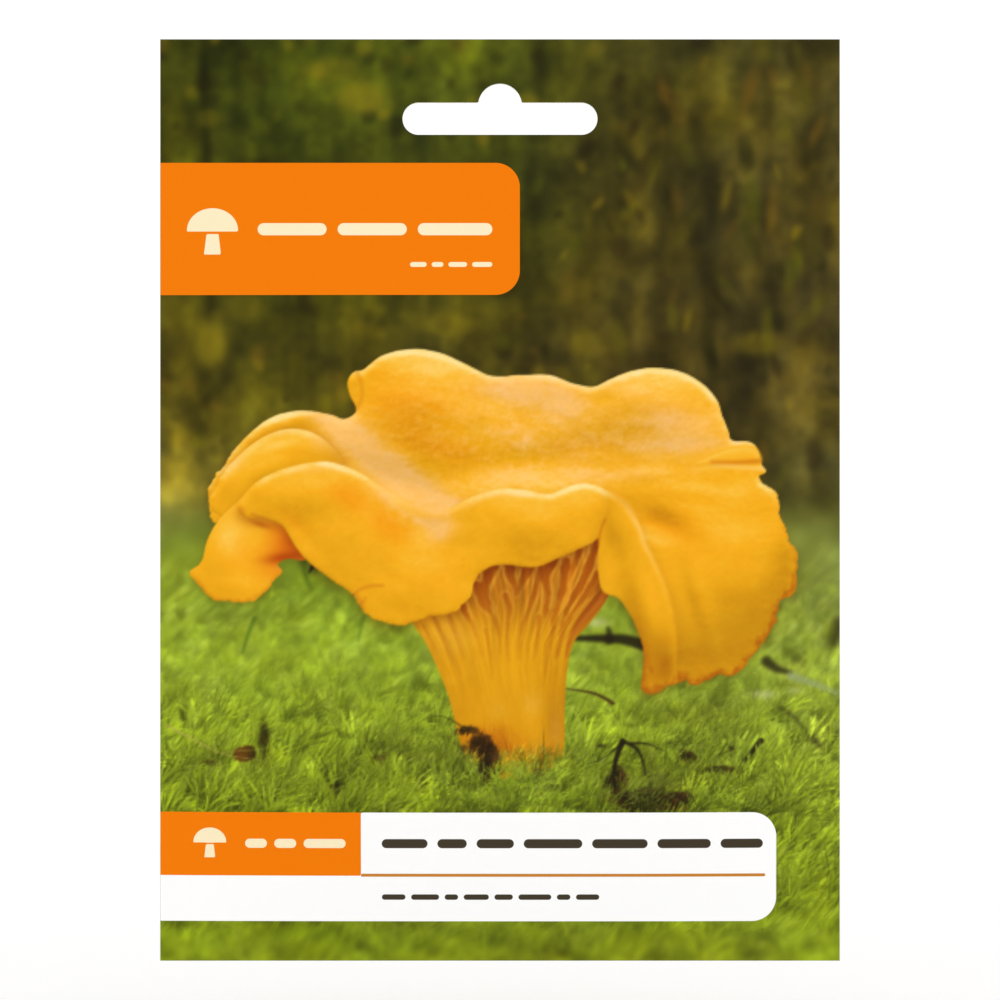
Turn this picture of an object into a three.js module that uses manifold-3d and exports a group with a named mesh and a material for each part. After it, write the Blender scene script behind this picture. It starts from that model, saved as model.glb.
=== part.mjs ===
// A hanging paper packet of mushroom spawn, as sold on a shop's display peg.
//
// One printed sheet is folded round its contents: a front panel, a back panel, and three flaps (side,
// bottom, top) that turn over the back panel and are glued to it. A euro slot is punched through all
// the plies of the header. Inside lies a heat-sealed film sachet that holds the granular spawn.
//
// Frame, in millimetres: X runs across the front towards the viewer's right, the front faces -Y and
// Z points up. The origin is the crown of the euro slot, where the display peg carries the packet.
import * as THREE from "three";
import { mergeVertices } from "three/addons/utils/BufferGeometryUtils.js";
import Module from "manifold-3d";

// Packet
const WIDTH = 111.5;
const HEIGHT = 151.2;
const PAPER = 0.25; // one ply
const PLY_GAP = 0.1; // between the front and back panels, where they lie flat
const GLUE = 0.1; // adhesive under a flap
const GLUE_GAP = 0.05; // on each side of the adhesive
const BELLY = 3.4; // how far the filled pocket pushes each panel out
const BELLY_FLATNESS = 2.5; // across: the higher, the flatter the middle and the steeper the sides
const BELLY_SAG = 0.75; // upwards: below 1, the fullest height is lower than halfway
const BELLY_TAPER = 1.1; // how gently the pocket closes towards its bottom and its header

// Euro slot: a long slot with a round crown over its middle
const SLOT_WIDTH = 32;
const SLOT_HEIGHT = 5.3;
const SLOT_TOTAL_HEIGHT = 8.4;
const CROWN_RADIUS = 3.6;
const CROWN_TO_TOP_EDGE = 7.3;

// Flaps, as folded onto the back panel
const TOP_FLAP_HEIGHT = 24;
const BOTTOM_FLAP_HEIGHT = 15;
const SIDE_FLAP_WIDTH = 11;
const FLAP_TAPER = 4; // how far each end of a flap's free edge is cut back
const FLAP_TO_FLAP = 0.6; // the side flap stops this far short of the others
const FLAP_INSET = 0.3; // from the folded edge to the flap's own cut ends
const GLUE_MARGIN = 2.5; // bare border round a glue line

// Sachet of film, and the spawn in it
const SACHET_WIDTH = 84;
const SACHET_HEIGHT = 86;
const SACHET_ABOVE_BOTTOM = 11;
const FILM = 0.15;
const SEAL_BAND = 6; // flat heat-sealed border
const FILM_RAMP = 12; // over which the film rises from its seal
const SACHET_CLEARANCE = 0.35; // from the film to the paper
const FILL_CLEARANCE = 0.15; // from the spawn to the film
const FILL_EDGE = 0.5; // half the spawn's thickness at its rim
const FILL_START = 1 / 3; // how far up the film's ramp the spawn begins

// Facets
const POCKET_CELLS_X = 12;
const POCKET_CELLS_Z = 12;
const HEADER_CELLS_Z = 3;
const SACHET_CELLS = 14;
const ARC_SEGMENTS = 10; // in each round stretch of an outline

const COLOURS = {
  print: 0xd89a28,
  board: 0xf2efe6,
  orange: 0xf47c01,
  moss: 0x7f9420,
  glue: 0xe9e2c8,
  film: 0xdfe6e8,
  spawn: 0x8a6a42,
};

// Heights worked out from the dimensions above
const topEdge = CROWN_TO_TOP_EDGE;
const bottomEdge = topEdge - HEIGHT;
const pocketTop = topEdge - TOP_FLAP_HEIGHT;
const pocketHeight = pocketTop - bottomEdge;
const halfWidth = WIDTH / 2;

// Depths of the flat plies, front to back, about the middle of the panels
const frontOuter = -(PLY_GAP / 2 + PAPER);
const backOuter = PLY_GAP / 2 + PAPER;
const glueInner = backOuter + GLUE_GAP;
const flapInner = glueInner + GLUE + GLUE_GAP;

const wasm = await Module();
wasm.setup();

// How far the filled pocket stands out at a point: nothing along its folds and under the header.
function belly(x, z) {
  const across = 1 - Math.min(1, Math.abs(x) / halfWidth) ** BELLY_FLATNESS;
  const up = THREE.MathUtils.clamp((z - bottomEdge) / pocketHeight, 0, 1);
  return BELLY * across * Math.sin(Math.PI * up ** BELLY_SAG) ** BELLY_TAPER;
}

// Evenly spaced values from a to b.
function steps(a, b, cells) {
  return Array.from({ length: cells + 1 }, (_, i) => a + ((b - a) * i) / cells);
}

// A closed slab over the grid xs by zs, between the surfaces y = front(x, z) and y = back(x, z).
function slab(xs, zs, front, back) {
  const columns = xs.length;
  const side = columns * zs.length;
  const positions = [];
  for (const surface of [front, back])
    for (const z of zs) for (const x of xs) positions.push(x, surface(x, z), z);
  const index = [];
  const quad = (a, b, c, d) => index.push(a, b, c, a, c, d);
  const at = (i, j) => j * columns + i;
  for (let j = 0; j + 1 < zs.length; j++)
    for (let i = 0; i + 1 < columns; i++) {
      quad(at(i, j), at(i + 1, j), at(i + 1, j + 1), at(i, j + 1));
      quad(side + at(i, j), side + at(i, j + 1), side + at(i + 1, j + 1), side + at(i + 1, j));
    }
  const wall = (a, b) => quad(b, a, side + a, side + b);
  const lastColumn = columns - 1;
  const lastRow = zs.length - 1;
  for (let i = 0; i < lastColumn; i++) {
    wall(at(i, 0), at(i + 1, 0));
    wall(at(i + 1, lastRow), at(i, lastRow));
  }
  for (let j = 0; j < lastRow; j++) {
    wall(at(lastColumn, j), at(lastColumn, j + 1));
    wall(at(0, j + 1), at(0, j));
  }
  const geometry = new THREE.BufferGeometry();
  geometry.setAttribute("position", new THREE.Float32BufferAttribute(positions, 3));
  geometry.setIndex(index);
  return geometry;
}

// A flat outline in X and Z, given as a THREE.Shape, pushed right through the packet along Y.
function punch(shape) {
  const depth = 4 * (BELLY + flapInner + PAPER);
  const options = { depth, bevelEnabled: false, curveSegments: ARC_SEGMENTS };
  const geometry = new THREE.ExtrudeGeometry(shape, options);
  geometry.rotateX(Math.PI / 2);
  geometry.translate(0, depth / 2, 0);
  return geometry;
}

function toSolid(geometry) {
  const bare = geometry.clone();
  bare.deleteAttribute("normal");
  bare.deleteAttribute("uv");
  const merged = mergeVertices(bare, 1e-4);
  return new wasm.Manifold(
    new wasm.Mesh({
      numProp: 3,
      vertProperties: new Float32Array(merged.attributes.position.array),
      triVerts: new Uint32Array(merged.index.array),
    }),
  );
}

function toGeometry(solid) {
  const mesh = solid.getMesh();
  const geometry = new THREE.BufferGeometry();
  geometry.setAttribute("position", new THREE.BufferAttribute(mesh.vertProperties, 3));
  geometry.setIndex(new THREE.BufferAttribute(mesh.triVerts, 1));
  return geometry;
}

// The euro slot's outline: its lower edge, two round ends, and the crown over the middle.
function slotShape() {
  const lower = -SLOT_TOTAL_HEIGHT;
  const end = SLOT_HEIGHT / 2;
  const upper = lower + SLOT_HEIGHT;
  const straight = SLOT_WIDTH / 2 - end;
  const crownHalf = Math.sqrt(CROWN_RADIUS ** 2 - (CROWN_RADIUS + upper) ** 2);
  const crownAngle = Math.atan2(CROWN_RADIUS + upper, crownHalf);
  const shape = new THREE.Shape();
  shape.moveTo(-straight, lower);
  shape.lineTo(straight, lower);
  shape.absarc(straight, lower + end, end, -Math.PI / 2, Math.PI / 2);
  shape.absarc(0, -CROWN_RADIUS, CROWN_RADIUS, crownAngle, Math.PI - crownAngle);
  shape.absarc(-straight, lower + end, end, Math.PI / 2, 1.5 * Math.PI);
  return shape;
}

// A flap's outline: its folded edge runs from a to b, and its free edge lies beyond, tapered at both ends.
function flapShape(a, b, reach) {
  const along = b.clone().sub(a).normalize();
  const out = new THREE.Vector2(-along.y, along.x).multiplyScalar(reach);
  const taper = along.clone().multiplyScalar(FLAP_TAPER);
  return new THREE.Shape([a, b, b.clone().add(out).sub(taper), a.clone().add(out).add(taper)]);
}

// Grid lines of the full panels: the bellied pocket, then the flat header.
const panelXs = steps(-halfWidth, halfWidth, POCKET_CELLS_X);
const panelZs = [
  ...steps(bottomEdge, pocketTop, POCKET_CELLS_Z),
  ...steps(pocketTop, topEdge, HEADER_CELLS_Z).slice(1),
];

const slotPunch = toSolid(punch(slotShape()));

function frontPanel() {
  const outer = (x, z) => frontOuter - belly(x, z);
  const inner = (x, z) => outer(x, z) + PAPER;
  return toGeometry(toSolid(slab(panelXs, panelZs, outer, inner)).subtract(slotPunch));
}

function backPanel() {
  const outer = (x, z) => backOuter + belly(x, z);
  const inner = (x, z) => outer(x, z) - PAPER;
  return toGeometry(toSolid(slab(panelXs, panelZs, inner, outer)).subtract(slotPunch));
}

// Everything that lies on the back panel shares its grid lines, so that the facets stay parallel.
const lidGrid = (lift, thickness) =>
  slab(
    panelXs,
    panelZs,
    (x, z) => lift + belly(x, z),
    (x, z) => lift + thickness + belly(x, z),
  );

const flaps = {
  top: {
    from: new THREE.Vector2(halfWidth - FLAP_INSET, topEdge),
    to: new THREE.Vector2(-halfWidth + FLAP_INSET, topEdge),
    reach: TOP_FLAP_HEIGHT,
  },
  bottom: {
    from: new THREE.Vector2(-halfWidth + FLAP_INSET, bottomEdge),
    to: new THREE.Vector2(halfWidth - FLAP_INSET, bottomEdge),
    reach: BOTTOM_FLAP_HEIGHT,
  },
  side: {
    from: new THREE.Vector2(-halfWidth, pocketTop - FLAP_TO_FLAP),
    to: new THREE.Vector2(-halfWidth, bottomEdge + BOTTOM_FLAP_HEIGHT + FLAP_TO_FLAP),
    reach: SIDE_FLAP_WIDTH,
  },
};

function flapPly({ from, to, reach }) {
  const outline = toSolid(punch(flapShape(from, to, reach)));
  return toSolid(lidGrid(flapInner, PAPER)).intersect(outline);
}

// The adhesive covers the flap but for a bare border, and is a straight strip.
function glueStrip({ from, to, reach }) {
  const along = to.clone().sub(from).normalize();
  const out = new THREE.Vector2(-along.y, along.x);
  const margin = FLAP_TAPER + GLUE_MARGIN;
  const a = from.clone().addScaledVector(along, margin).addScaledVector(out, GLUE_MARGIN);
  const b = to.clone().addScaledVector(along, -margin).addScaledVector(out, GLUE_MARGIN);
  const rise = out.clone().multiplyScalar(reach - 2 * GLUE_MARGIN);
  const outline = new THREE.Shape([a, b, b.clone().add(rise), a.clone().add(rise)]);
  return toSolid(lidGrid(glueInner, GLUE)).intersect(toSolid(punch(outline)));
}

// The sachet
const sachetBottom = bottomEdge + SACHET_ABOVE_BOTTOM;
const sachetTop = sachetBottom + SACHET_HEIGHT;
const sachetHalf = SACHET_WIDTH / 2;
const sealHalf = PLY_GAP / 2 + FILM; // half the depth of the two films where they are sealed

// 0 on the seal band, rising to 1 over FILM_RAMP inside it.
function inflation(x, z) {
  const inward = Math.min(sachetHalf - Math.abs(x), z - sachetBottom, sachetTop - z) - SEAL_BAND;
  return THREE.MathUtils.smoothstep(inward, 0, FILM_RAMP);
}

// Half the sachet's outside depth.
function sachetDepth(x, z) {
  const room = belly(x, z) + PLY_GAP / 2 - SACHET_CLEARANCE;
  return sealHalf + Math.max(0, room - sealHalf) * inflation(x, z);
}

const sachetXs = steps(-sachetHalf, sachetHalf, SACHET_CELLS);
const sachetZs = steps(sachetBottom, sachetTop, SACHET_CELLS);

// One film of the sachet: side is -1 for the front film and 1 for the back film.
function sachetFilm(side) {
  const outer = (x, z) => side * sachetDepth(x, z);
  const inner = (x, z) => side * (sachetDepth(x, z) - FILM);
  const [front, back] = side < 0 ? [outer, inner] : [inner, outer];
  return slab(sachetXs, sachetZs, front, back);
}

// The spawn fills the sachet inside its seal band, on the sachet's own grid lines.
function spawnFill() {
  const inside = (values, low, high) => values.filter((v) => v > low && v < high);
  const reach = SEAL_BAND + FILM_RAMP * FILL_START;
  const xs = inside(sachetXs, -sachetHalf + reach, sachetHalf - reach);
  const zs = inside(sachetZs, sachetBottom + reach, sachetTop - reach);
  const rimXs = [xs[0], xs.at(-1)];
  const rimZs = [zs[0], zs.at(-1)];
  const full = (x, z) => sachetDepth(x, z) - FILM - FILL_CLEARANCE;
  const depth = (x, z) => (rimXs.includes(x) || rimZs.includes(z) ? FILL_EDGE : full(x, z));
  return slab(
    xs,
    zs,
    (x, z) => -depth(x, z),
    (x, z) => depth(x, z),
  );
}

const packet = new THREE.Group();

function add(name, geometry, colour, roughness) {
  const material = new THREE.MeshStandardMaterial({ color: colour, roughness, metalness: 0 });
  const mesh = new THREE.Mesh(geometry, material);
  mesh.name = name;
  packet.add(mesh);
}

add("front_panel", frontPanel(), COLOURS.print, 0.45);
add("back_panel", backPanel(), COLOURS.board, 0.55);
add("top_flap", toGeometry(flapPly(flaps.top).subtract(slotPunch)), COLOURS.orange, 0.45);
add("bottom_flap", toGeometry(flapPly(flaps.bottom)), COLOURS.moss, 0.45);
add("side_flap", toGeometry(flapPly(flaps.side)), COLOURS.moss, 0.45);
add("top_flap_glue", toGeometry(glueStrip(flaps.top).subtract(slotPunch)), COLOURS.glue, 0.3);
add("bottom_flap_glue", toGeometry(glueStrip(flaps.bottom)), COLOURS.glue, 0.3);
add("side_flap_glue", toGeometry(glueStrip(flaps.side)), COLOURS.glue, 0.3);
add("sachet_front_film", sachetFilm(-1), COLOURS.film, 0.2);
add("sachet_back_film", sachetFilm(1), COLOURS.film, 0.2);
add("spawn_fill", spawnFill(), COLOURS.spawn, 0.95);

export default packet;
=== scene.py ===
"""A hanging paper packet of mushroom spawn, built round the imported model.

The printed sheet is folded round its contents: a front panel, a back panel and three glued flaps, with a
euro slot punched through the header. The print is drawn by the code below: a chanterelle in moss in front
of a dim forest, with plain orange and white label panels. The vertices of the sheets carry its colours.

Every length is in millimetres unless a comment says otherwise. MM turns it into Blender's metres.
"""

from math import pi, radians

import bpy
import numpy as np
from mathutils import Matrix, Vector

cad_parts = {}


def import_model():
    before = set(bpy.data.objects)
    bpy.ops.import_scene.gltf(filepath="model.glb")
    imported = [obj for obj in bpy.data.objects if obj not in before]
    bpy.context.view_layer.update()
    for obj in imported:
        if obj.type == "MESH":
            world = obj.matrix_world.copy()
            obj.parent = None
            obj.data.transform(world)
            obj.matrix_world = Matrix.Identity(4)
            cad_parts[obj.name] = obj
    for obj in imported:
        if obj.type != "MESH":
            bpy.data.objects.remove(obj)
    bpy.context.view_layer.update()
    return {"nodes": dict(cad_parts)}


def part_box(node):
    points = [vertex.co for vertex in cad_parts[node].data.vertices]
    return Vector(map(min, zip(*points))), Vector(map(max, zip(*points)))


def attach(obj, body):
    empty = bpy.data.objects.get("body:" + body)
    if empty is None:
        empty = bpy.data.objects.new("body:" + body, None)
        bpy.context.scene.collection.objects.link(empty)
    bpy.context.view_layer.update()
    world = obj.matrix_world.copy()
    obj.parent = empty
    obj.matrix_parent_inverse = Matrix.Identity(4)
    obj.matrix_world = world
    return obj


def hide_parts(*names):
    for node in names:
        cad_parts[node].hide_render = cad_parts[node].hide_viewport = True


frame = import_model()

MM = 0.001

# Sizes that the frame gives
front_low, front_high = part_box("front_panel")
PACKET_WIDTH = round((front_high.x - front_low.x) / MM, 2)
PACKET_HEIGHT = round((front_high.z - front_low.z) / MM, 2)
LEFT_EDGE = front_low.x / MM
TOP_EDGE = front_high.z / MM

# ---------------------------------------------------------------- canvas
# Places in the picture are millimetres right of the packet's left edge and down from its top edge.
DOTS = 8  # per millimetre
LEFT, TOP = -13.0, -26.0  # the picture carries on over the folds, onto the flaps
RIGHT, BOTTOM = 114.0, 168.0
COLUMNS = int((RIGHT - LEFT) * DOTS)
ROWS = int((BOTTOM - TOP) * DOTS)
RIGHTWARD = (LEFT + (np.arange(COLUMNS) + 0.5) / DOTS).astype(np.float32)
DOWNWARD = (TOP + (np.arange(ROWS) + 0.5) / DOTS).astype(np.float32)


def rgb(*values):
    return np.array(values, np.float32) / 255


def ramp(low, high, x):
    """0 up to low, 1 from high on and smooth between them."""
    t = np.clip((x - low) / (high - low), 0, 1)
    return t * t * (3 - 2 * t)


def weights(count, knots):
    """A matrix that spreads knots values smoothly over count places."""
    at = (np.arange(count) + 0.5) / count * (knots - 1)
    low = np.minimum(at.astype(int), knots - 2)
    t = at - low
    t = t * t * (3 - 2 * t)
    matrix = np.zeros((count, knots), np.float32)
    matrix[np.arange(count), low] = 1 - t
    matrix[np.arange(count), low + 1] = t
    return matrix


def spread(grid, rows=ROWS, columns=COLUMNS):
    """A coarse grid spread smoothly over rows by columns."""
    return weights(rows, grid.shape[0]) @ grid @ weights(columns, grid.shape[1]).T


def cloud(rng, wide, high, octaves=3, fade=0.5, rows=ROWS, columns=COLUMNS):
    """Noise from -1 to 1 whose largest patches are wide by high millimetres."""
    total, size = 0, 0
    for octave in range(octaves):
        cells = 2**octave
        knots = int(rows / DOTS / high * cells) + 2, int(columns / DOTS / wide * cells) + 2
        grid = rng.uniform(-1, 1, knots)
        total = total + spread(grid.astype(np.float32), rows, columns) * fade**octave
        size += fade**octave
    return total / size


def blur(image, millimetres):
    """Gaussian blur, with the edges carried outwards first."""
    pad = int(3 * millimetres * DOTS) + 1
    padding = [(pad, pad), (pad, pad)] + [(0, 0)] * (image.ndim - 2)
    wide = np.pad(image, padding, mode="edge")
    for axis in (0, 1):
        n = wide.shape[axis]
        decay = np.exp(-2 * (pi * millimetres * DOTS * np.fft.rfftfreq(n)) ** 2).astype(np.float32)
        shape = [1] * image.ndim
        shape[axis] = decay.size
        wide = np.fft.irfft(np.fft.rfft(wide, axis=axis) * decay.reshape(shape), n, axis).astype(np.float32)
    return wide[pad:-pad, pad:-pad]


def mix(a, b, share):
    """Goes from a to b by share. Colours take the same share in red, green and blue."""
    share = np.asarray(share, np.float32)
    if share.ndim == a.ndim - 1:
        share = share[..., None]
    return a + (b - a) * share


def soft_patch(dx, dy, wide, high, turn=0.0):
    """A round soft patch, 1 in its middle, that has faded out at about wide and high."""
    c, s = np.cos(radians(turn)), np.sin(radians(turn))
    return np.exp(-2 * (((dx * c + dy * s) / wide) ** 2 + ((dy * c - dx * s) / high) ** 2))


def soft_spot(x, y, wide, high):
    return soft_patch(RIGHTWARD[None, :] - x, DOWNWARD[:, None] - y, wide, high)


# ---------------------------------------------------------------- forest
# Tones of the forest, from its top to its bottom and from its left to its right
FOREST_TONES = (
    ((46, 40, 6), (54, 52, 10), (66, 66, 14), (72, 66, 17), (76, 68, 20)),
    ((44, 42, 6), (62, 68, 10), (70, 76, 14), (76, 70, 20), (84, 74, 24)),
    ((62, 56, 8), (66, 70, 10), (62, 64, 12), (78, 68, 20), (88, 76, 26)),
    ((90, 78, 18), (78, 72, 12), (70, 62, 14), (74, 62, 18), (84, 72, 28)),
    ((140, 126, 50), (104, 92, 24), (72, 62, 14), (66, 56, 18), (80, 74, 28)),
)
FOREST_EDGE = 80.0  # its tones end here; the moss lies over its foot
LEAF_COLOURS = (
    (112, 108, 16), (92, 96, 12), (150, 126, 20), (26, 26, 4), (30, 22, 6), (116, 84, 20), (22, 20, 4),
)
# Right, half width, darkness
TRUNKS = (
    (7.7, 0.9, 0.6), (13.0, 1.4, 0.3), (62.0, 2.0, 0.25), (76.0, 1.3, 0.3), (88.0, 2.2, 0.3),
    (100.0, 1.2, 0.3), (108.0, 2.5, 0.3),
)
LEAVES = 520
# Right, down, half width, half height, share
LIT_LEAVES = (
    (33.0, 9.5, 6.0, 4.0, 0.5), (8.5, 50.0, 4.0, 6.0, 0.6), (28.0, 5.0, 7.0, 3.0, 0.3),
    (60.0, 10.5, 4.0, 2.4, 0.4), (8.0, 13.0, 3.0, 2.4, 0.3), (70.0, 50.0, 4.0, 3.0, 0.3),
    (47.0, 47.0, 6.0, 3.0, 0.35), (14.0, 44.0, 5.0, 4.0, 0.3), (98.0, 50.0, 6.0, 3.0, 0.35),
    (90.0, 6.0, 6.0, 6.0, 0.2),
)


def tone_map(rows_of_tones, rows):
    tones = np.array(rows_of_tones, np.float32) / 255
    return np.stack([spread(tones[..., i], rows) for i in range(3)], -1)


def paint_forest(rng):
    """The dim forest, out of focus."""
    rows = int((FOREST_EDGE - TOP) * DOTS)
    image = tone_map(FOREST_TONES, rows)
    streak = cloud(rng, 4, 26, 3, 0.6, rows)
    patch = cloud(rng, 9, 9, 4, 0.75, rows)
    image = image * np.exp(0.32 * streak + 0.62 * patch)[..., None]
    hue = cloud(rng, 8, 10, 3, 0.6, rows)[..., None]
    image = image * (1 + hue * np.array([0.16, 0.12, -0.3], np.float32))
    full = np.zeros((ROWS, COLUMNS, 3), np.float32)
    full[:rows] = image
    full[rows:] = image[-1]
    # trunks
    for x, wide, dark in TRUNKS:
        bend = 0.6 * np.sin(DOWNWARD[:, None] / 11 + x)
        trunk = np.exp(-(((RIGHTWARD[None, :] - x) + bend) / wide) ** 2)
        full = mix(full, full * 0.4, trunk * dark * ramp(62, 40, DOWNWARD)[:, None])
    # leaves and light between the trees, out of focus
    for _ in range(LEAVES):
        x, y = rng.uniform(LEFT, RIGHT), rng.uniform(TOP, 72)
        size = rng.uniform(0.6, 2.2)
        leaf = rgb(*LEAF_COLOURS[rng.integers(len(LEAF_COLOURS))])
        droop = 1 + 1.6 * ramp(55, 90, x)
        turn = rng.normal(0, 50 / droop)
        soft_leaf(full, leaf, x, y, size, size * droop * rng.uniform(0.7, 1.7), turn,
                  rng.uniform(0.10, 0.45))
    for x, y, wide, high, share in LIT_LEAVES:
        soft_leaf(full, rgb(150, 132, 20), x, y, wide, high, 0, share)
    return blur(full, 0.34)


def soft_leaf(image, colour, x, y, wide, high, turn, share):
    """Mixes a colour into the part of the image round a soft patch."""
    reach = 1.6 * max(wide, high)
    r = slice(max(int((y - reach - TOP) * DOTS), 0), max(int((y + reach - TOP) * DOTS), 0))
    c = slice(max(int((x - reach - LEFT) * DOTS), 0), max(int((x + reach - LEFT) * DOTS), 0))
    patch = soft_patch(RIGHTWARD[None, c] - x, DOWNWARD[r, None] - y, wide, high, turn)
    image[r, c] = mix(image[r, c], colour, ramp(0.1, 0.8, patch) * share)


# ---------------------------------------------------------------- moss
MOSS_EDGE = 74.0  # its tones begin here
FOREST_FADES, MOSS_ALONE = 72.0, 82.0  # between these the forest gives way to the moss
PALE_MOSS = rgb(190, 204, 110)
DARK_GROUND = rgb(38, 36, 6)
MOSS_TONES = (
    ((120, 120, 48), (98, 106, 32), (92, 100, 30), (84, 84, 32)),
    ((138, 152, 40), (122, 142, 32), (118, 136, 34), (128, 136, 54)),
    ((150, 170, 42), (144, 166, 38), (142, 160, 42), (148, 162, 58)),
    ((142, 162, 32), (144, 164, 34), (144, 164, 38), (140, 156, 44)),
    ((130, 148, 24), (128, 146, 22), (134, 152, 30), (138, 154, 32)),
    ((124, 142, 20), (108, 124, 16), (116, 132, 20), (132, 150, 26)),
    ((146, 164, 22), (130, 146, 18), (128, 140, 18), (148, 164, 24)),
    ((142, 162, 22), (140, 160, 20), (152, 152, 16), (160, 152, 20)),
)
# Where the ground shows dark between the shoots: right, down, half width, half height, depth
DARK_PLACES = (
    (74.5, 121.5, 4.0, 3.4, 1.0), (81.0, 124.0, 8.0, 3.2, 1.0), (51.5, 118.0, 3.6, 5.0, 1.0),
    (9.5, 117.8, 3.5, 1.4, 0.6), (17.0, 114.6, 1.6, 4.2, 1.0), (88.0, 119.0, 6.0, 1.6, 0.8),
    (38.0, 117.6, 11.0, 2.6, 0.75), (104.5, 101.5, 3.0, 1.6, 0.4), (62.0, 121.0, 8.0, 2.4, 0.7),
    (29.0, 122.6, 2.0, 2.4, 0.6), (77.0, 112.4, 3.0, 0.8, 0.4), (100.0, 124.0, 4.0, 1.2, 0.4),
    (46.0, 121.5, 5.0, 2.6, 0.6), (18.0, 121.0, 2.4, 2.0, 0.5), (25.5, 86.4, 1.0, 1.8, 0.8),
    (84.0, 115.4, 5.0, 0.9, 0.5), (5.0, 122.0, 1.6, 1.6, 0.4), (24.0, 110.6, 1.2, 1.2, 0.3),
    (4.0, 111.0, 0.8, 2.6, 0.45), (110.0, 99.0, 3.0, 3.0, 0.5),
)


def combed(rng, angle, reach, size):
    """Noise drawn out along a direction at each place, as hair is. Reach and size are in dots."""
    rows, columns = angle.shape
    noise = rng.normal(0, 1, (rows // size + 2, columns // size + 2)).astype(np.float32)
    y, x = np.indices(angle.shape, np.float32)
    across, up = np.sin(angle), np.cos(angle)
    total = np.zeros(angle.shape, np.float32)
    for k in range(-reach, reach + 1):
        i = np.clip((y - k * up) / size, 0, noise.shape[0] - 1).astype(np.int32)
        j = np.clip((x + k * across) / size, 0, noise.shape[1] - 1).astype(np.int32)
        total += noise[i, j] * np.cos(k / (reach + 1) * pi / 2)
    return total / total.std()


def on_canvas(image, first):
    """The whole canvas from its rows from first on. Above them the topmost one carries on."""
    return np.concatenate([np.repeat(image[:1], first, 0), image]).astype(np.float32)


def moss_ground(rng, down):
    """The moss before its shoots are drawn, how dark its hollows are, and how the shoots lean."""
    rows = len(down)
    image = tone_map(MOSS_TONES, rows)
    near = ramp(98, 120, down)
    far_off = ramp(112, 92, down)
    tuft = cloud(rng, 7, 3.6, 4, 0.75, rows) + 0.35 * cloud(rng, 22, 9, 2, 0.5, rows)
    lean = 0.60 + 0.70 * cloud(rng, 12, 7, 3, 0.65, rows)
    short = combed(rng, lean, 5, 1)
    tall = combed(rng, lean, 12, 2)
    wisp = combed(rng, lean + 0.25, 20, 2)
    hair = short * (0.07 - 0.05 * far_off) + tall * (0.07 + 0.06 * near) + wisp * (0.04 + 0.05 * far_off)
    image = image * np.exp(hair + 0.13 * tuft)[..., None]
    hue = cloud(rng, 5, 3, 4, 0.8, rows)[..., None]
    image = image * (1 + hue * np.array([0.05, 0.0, -0.25], np.float32))
    # the pale tips of tufts
    pale = ramp(0.7, 2.4, 0.6 * tall + 0.8 * wisp + 2.0 * tuft) * (0.6 - 0.2 * near)
    image = mix(image, PALE_MOSS, pale * 0.7)
    hollow = ramp(0.22, 0.8, cloud(rng, 6, 2.6, 4, 0.7, rows) + 0.10 * tall) * (0.15 + 0.6 * near)
    return image, hollow, lean


def paint_moss(rng):
    """The moss, and how its shoots lean all over the canvas."""
    first = int((MOSS_EDGE - TOP) * DOTS)
    image, hollow, lean = moss_ground(rng, DOWNWARD[first:, None])
    full, lean = on_canvas(image, first), on_canvas(lean, first)
    dark = np.zeros((ROWS, COLUMNS), np.float32)
    dark[first:] = hollow
    for x, y, wide, high, depth in DARK_PLACES:
        dark = np.maximum(dark, soft_spot(x, y, wide, high) * depth)
    full = mix(full, DARK_GROUND, np.clip(dark, 0, 1) * 0.8)
    out = tufts(rng, full, lean, 90.0, 112.0, 420)
    out = strands(rng, out, lean, 88.0, 119.5, 620)
    out = strands(rng, out, lean, 124.0, BOTTOM, 520)
    for x, y, wide, high, depth in DARK_PLACES:
        out = mix(out, DARK_GROUND, soft_spot(x, y, 0.75 * wide, 0.75 * high) * depth * 0.65)
    across = np.ones((1, COLUMNS), np.float32)
    far = ramp(118, 98, DOWNWARD)[:, None] * across
    farthest = ramp(94, 80, DOWNWARD)[:, None] * across
    close = ramp(136, 150, DOWNWARD)[:, None] * across
    out = mix(out, blur(out, 0.34), far * 0.9)
    out = mix(out, blur(full, 1.0), farthest)
    return mix(out, blur(out, 0.45), close), lean


def dot_at(x, y):
    """The row and column of the canvas's dot at a place, or of the nearest one."""
    row = np.clip(((y - TOP) * DOTS).astype(int), 0, ROWS - 1)
    return row, np.clip(((x - LEFT) * DOTS).astype(int), 0, COLUMNS - 1)


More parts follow.
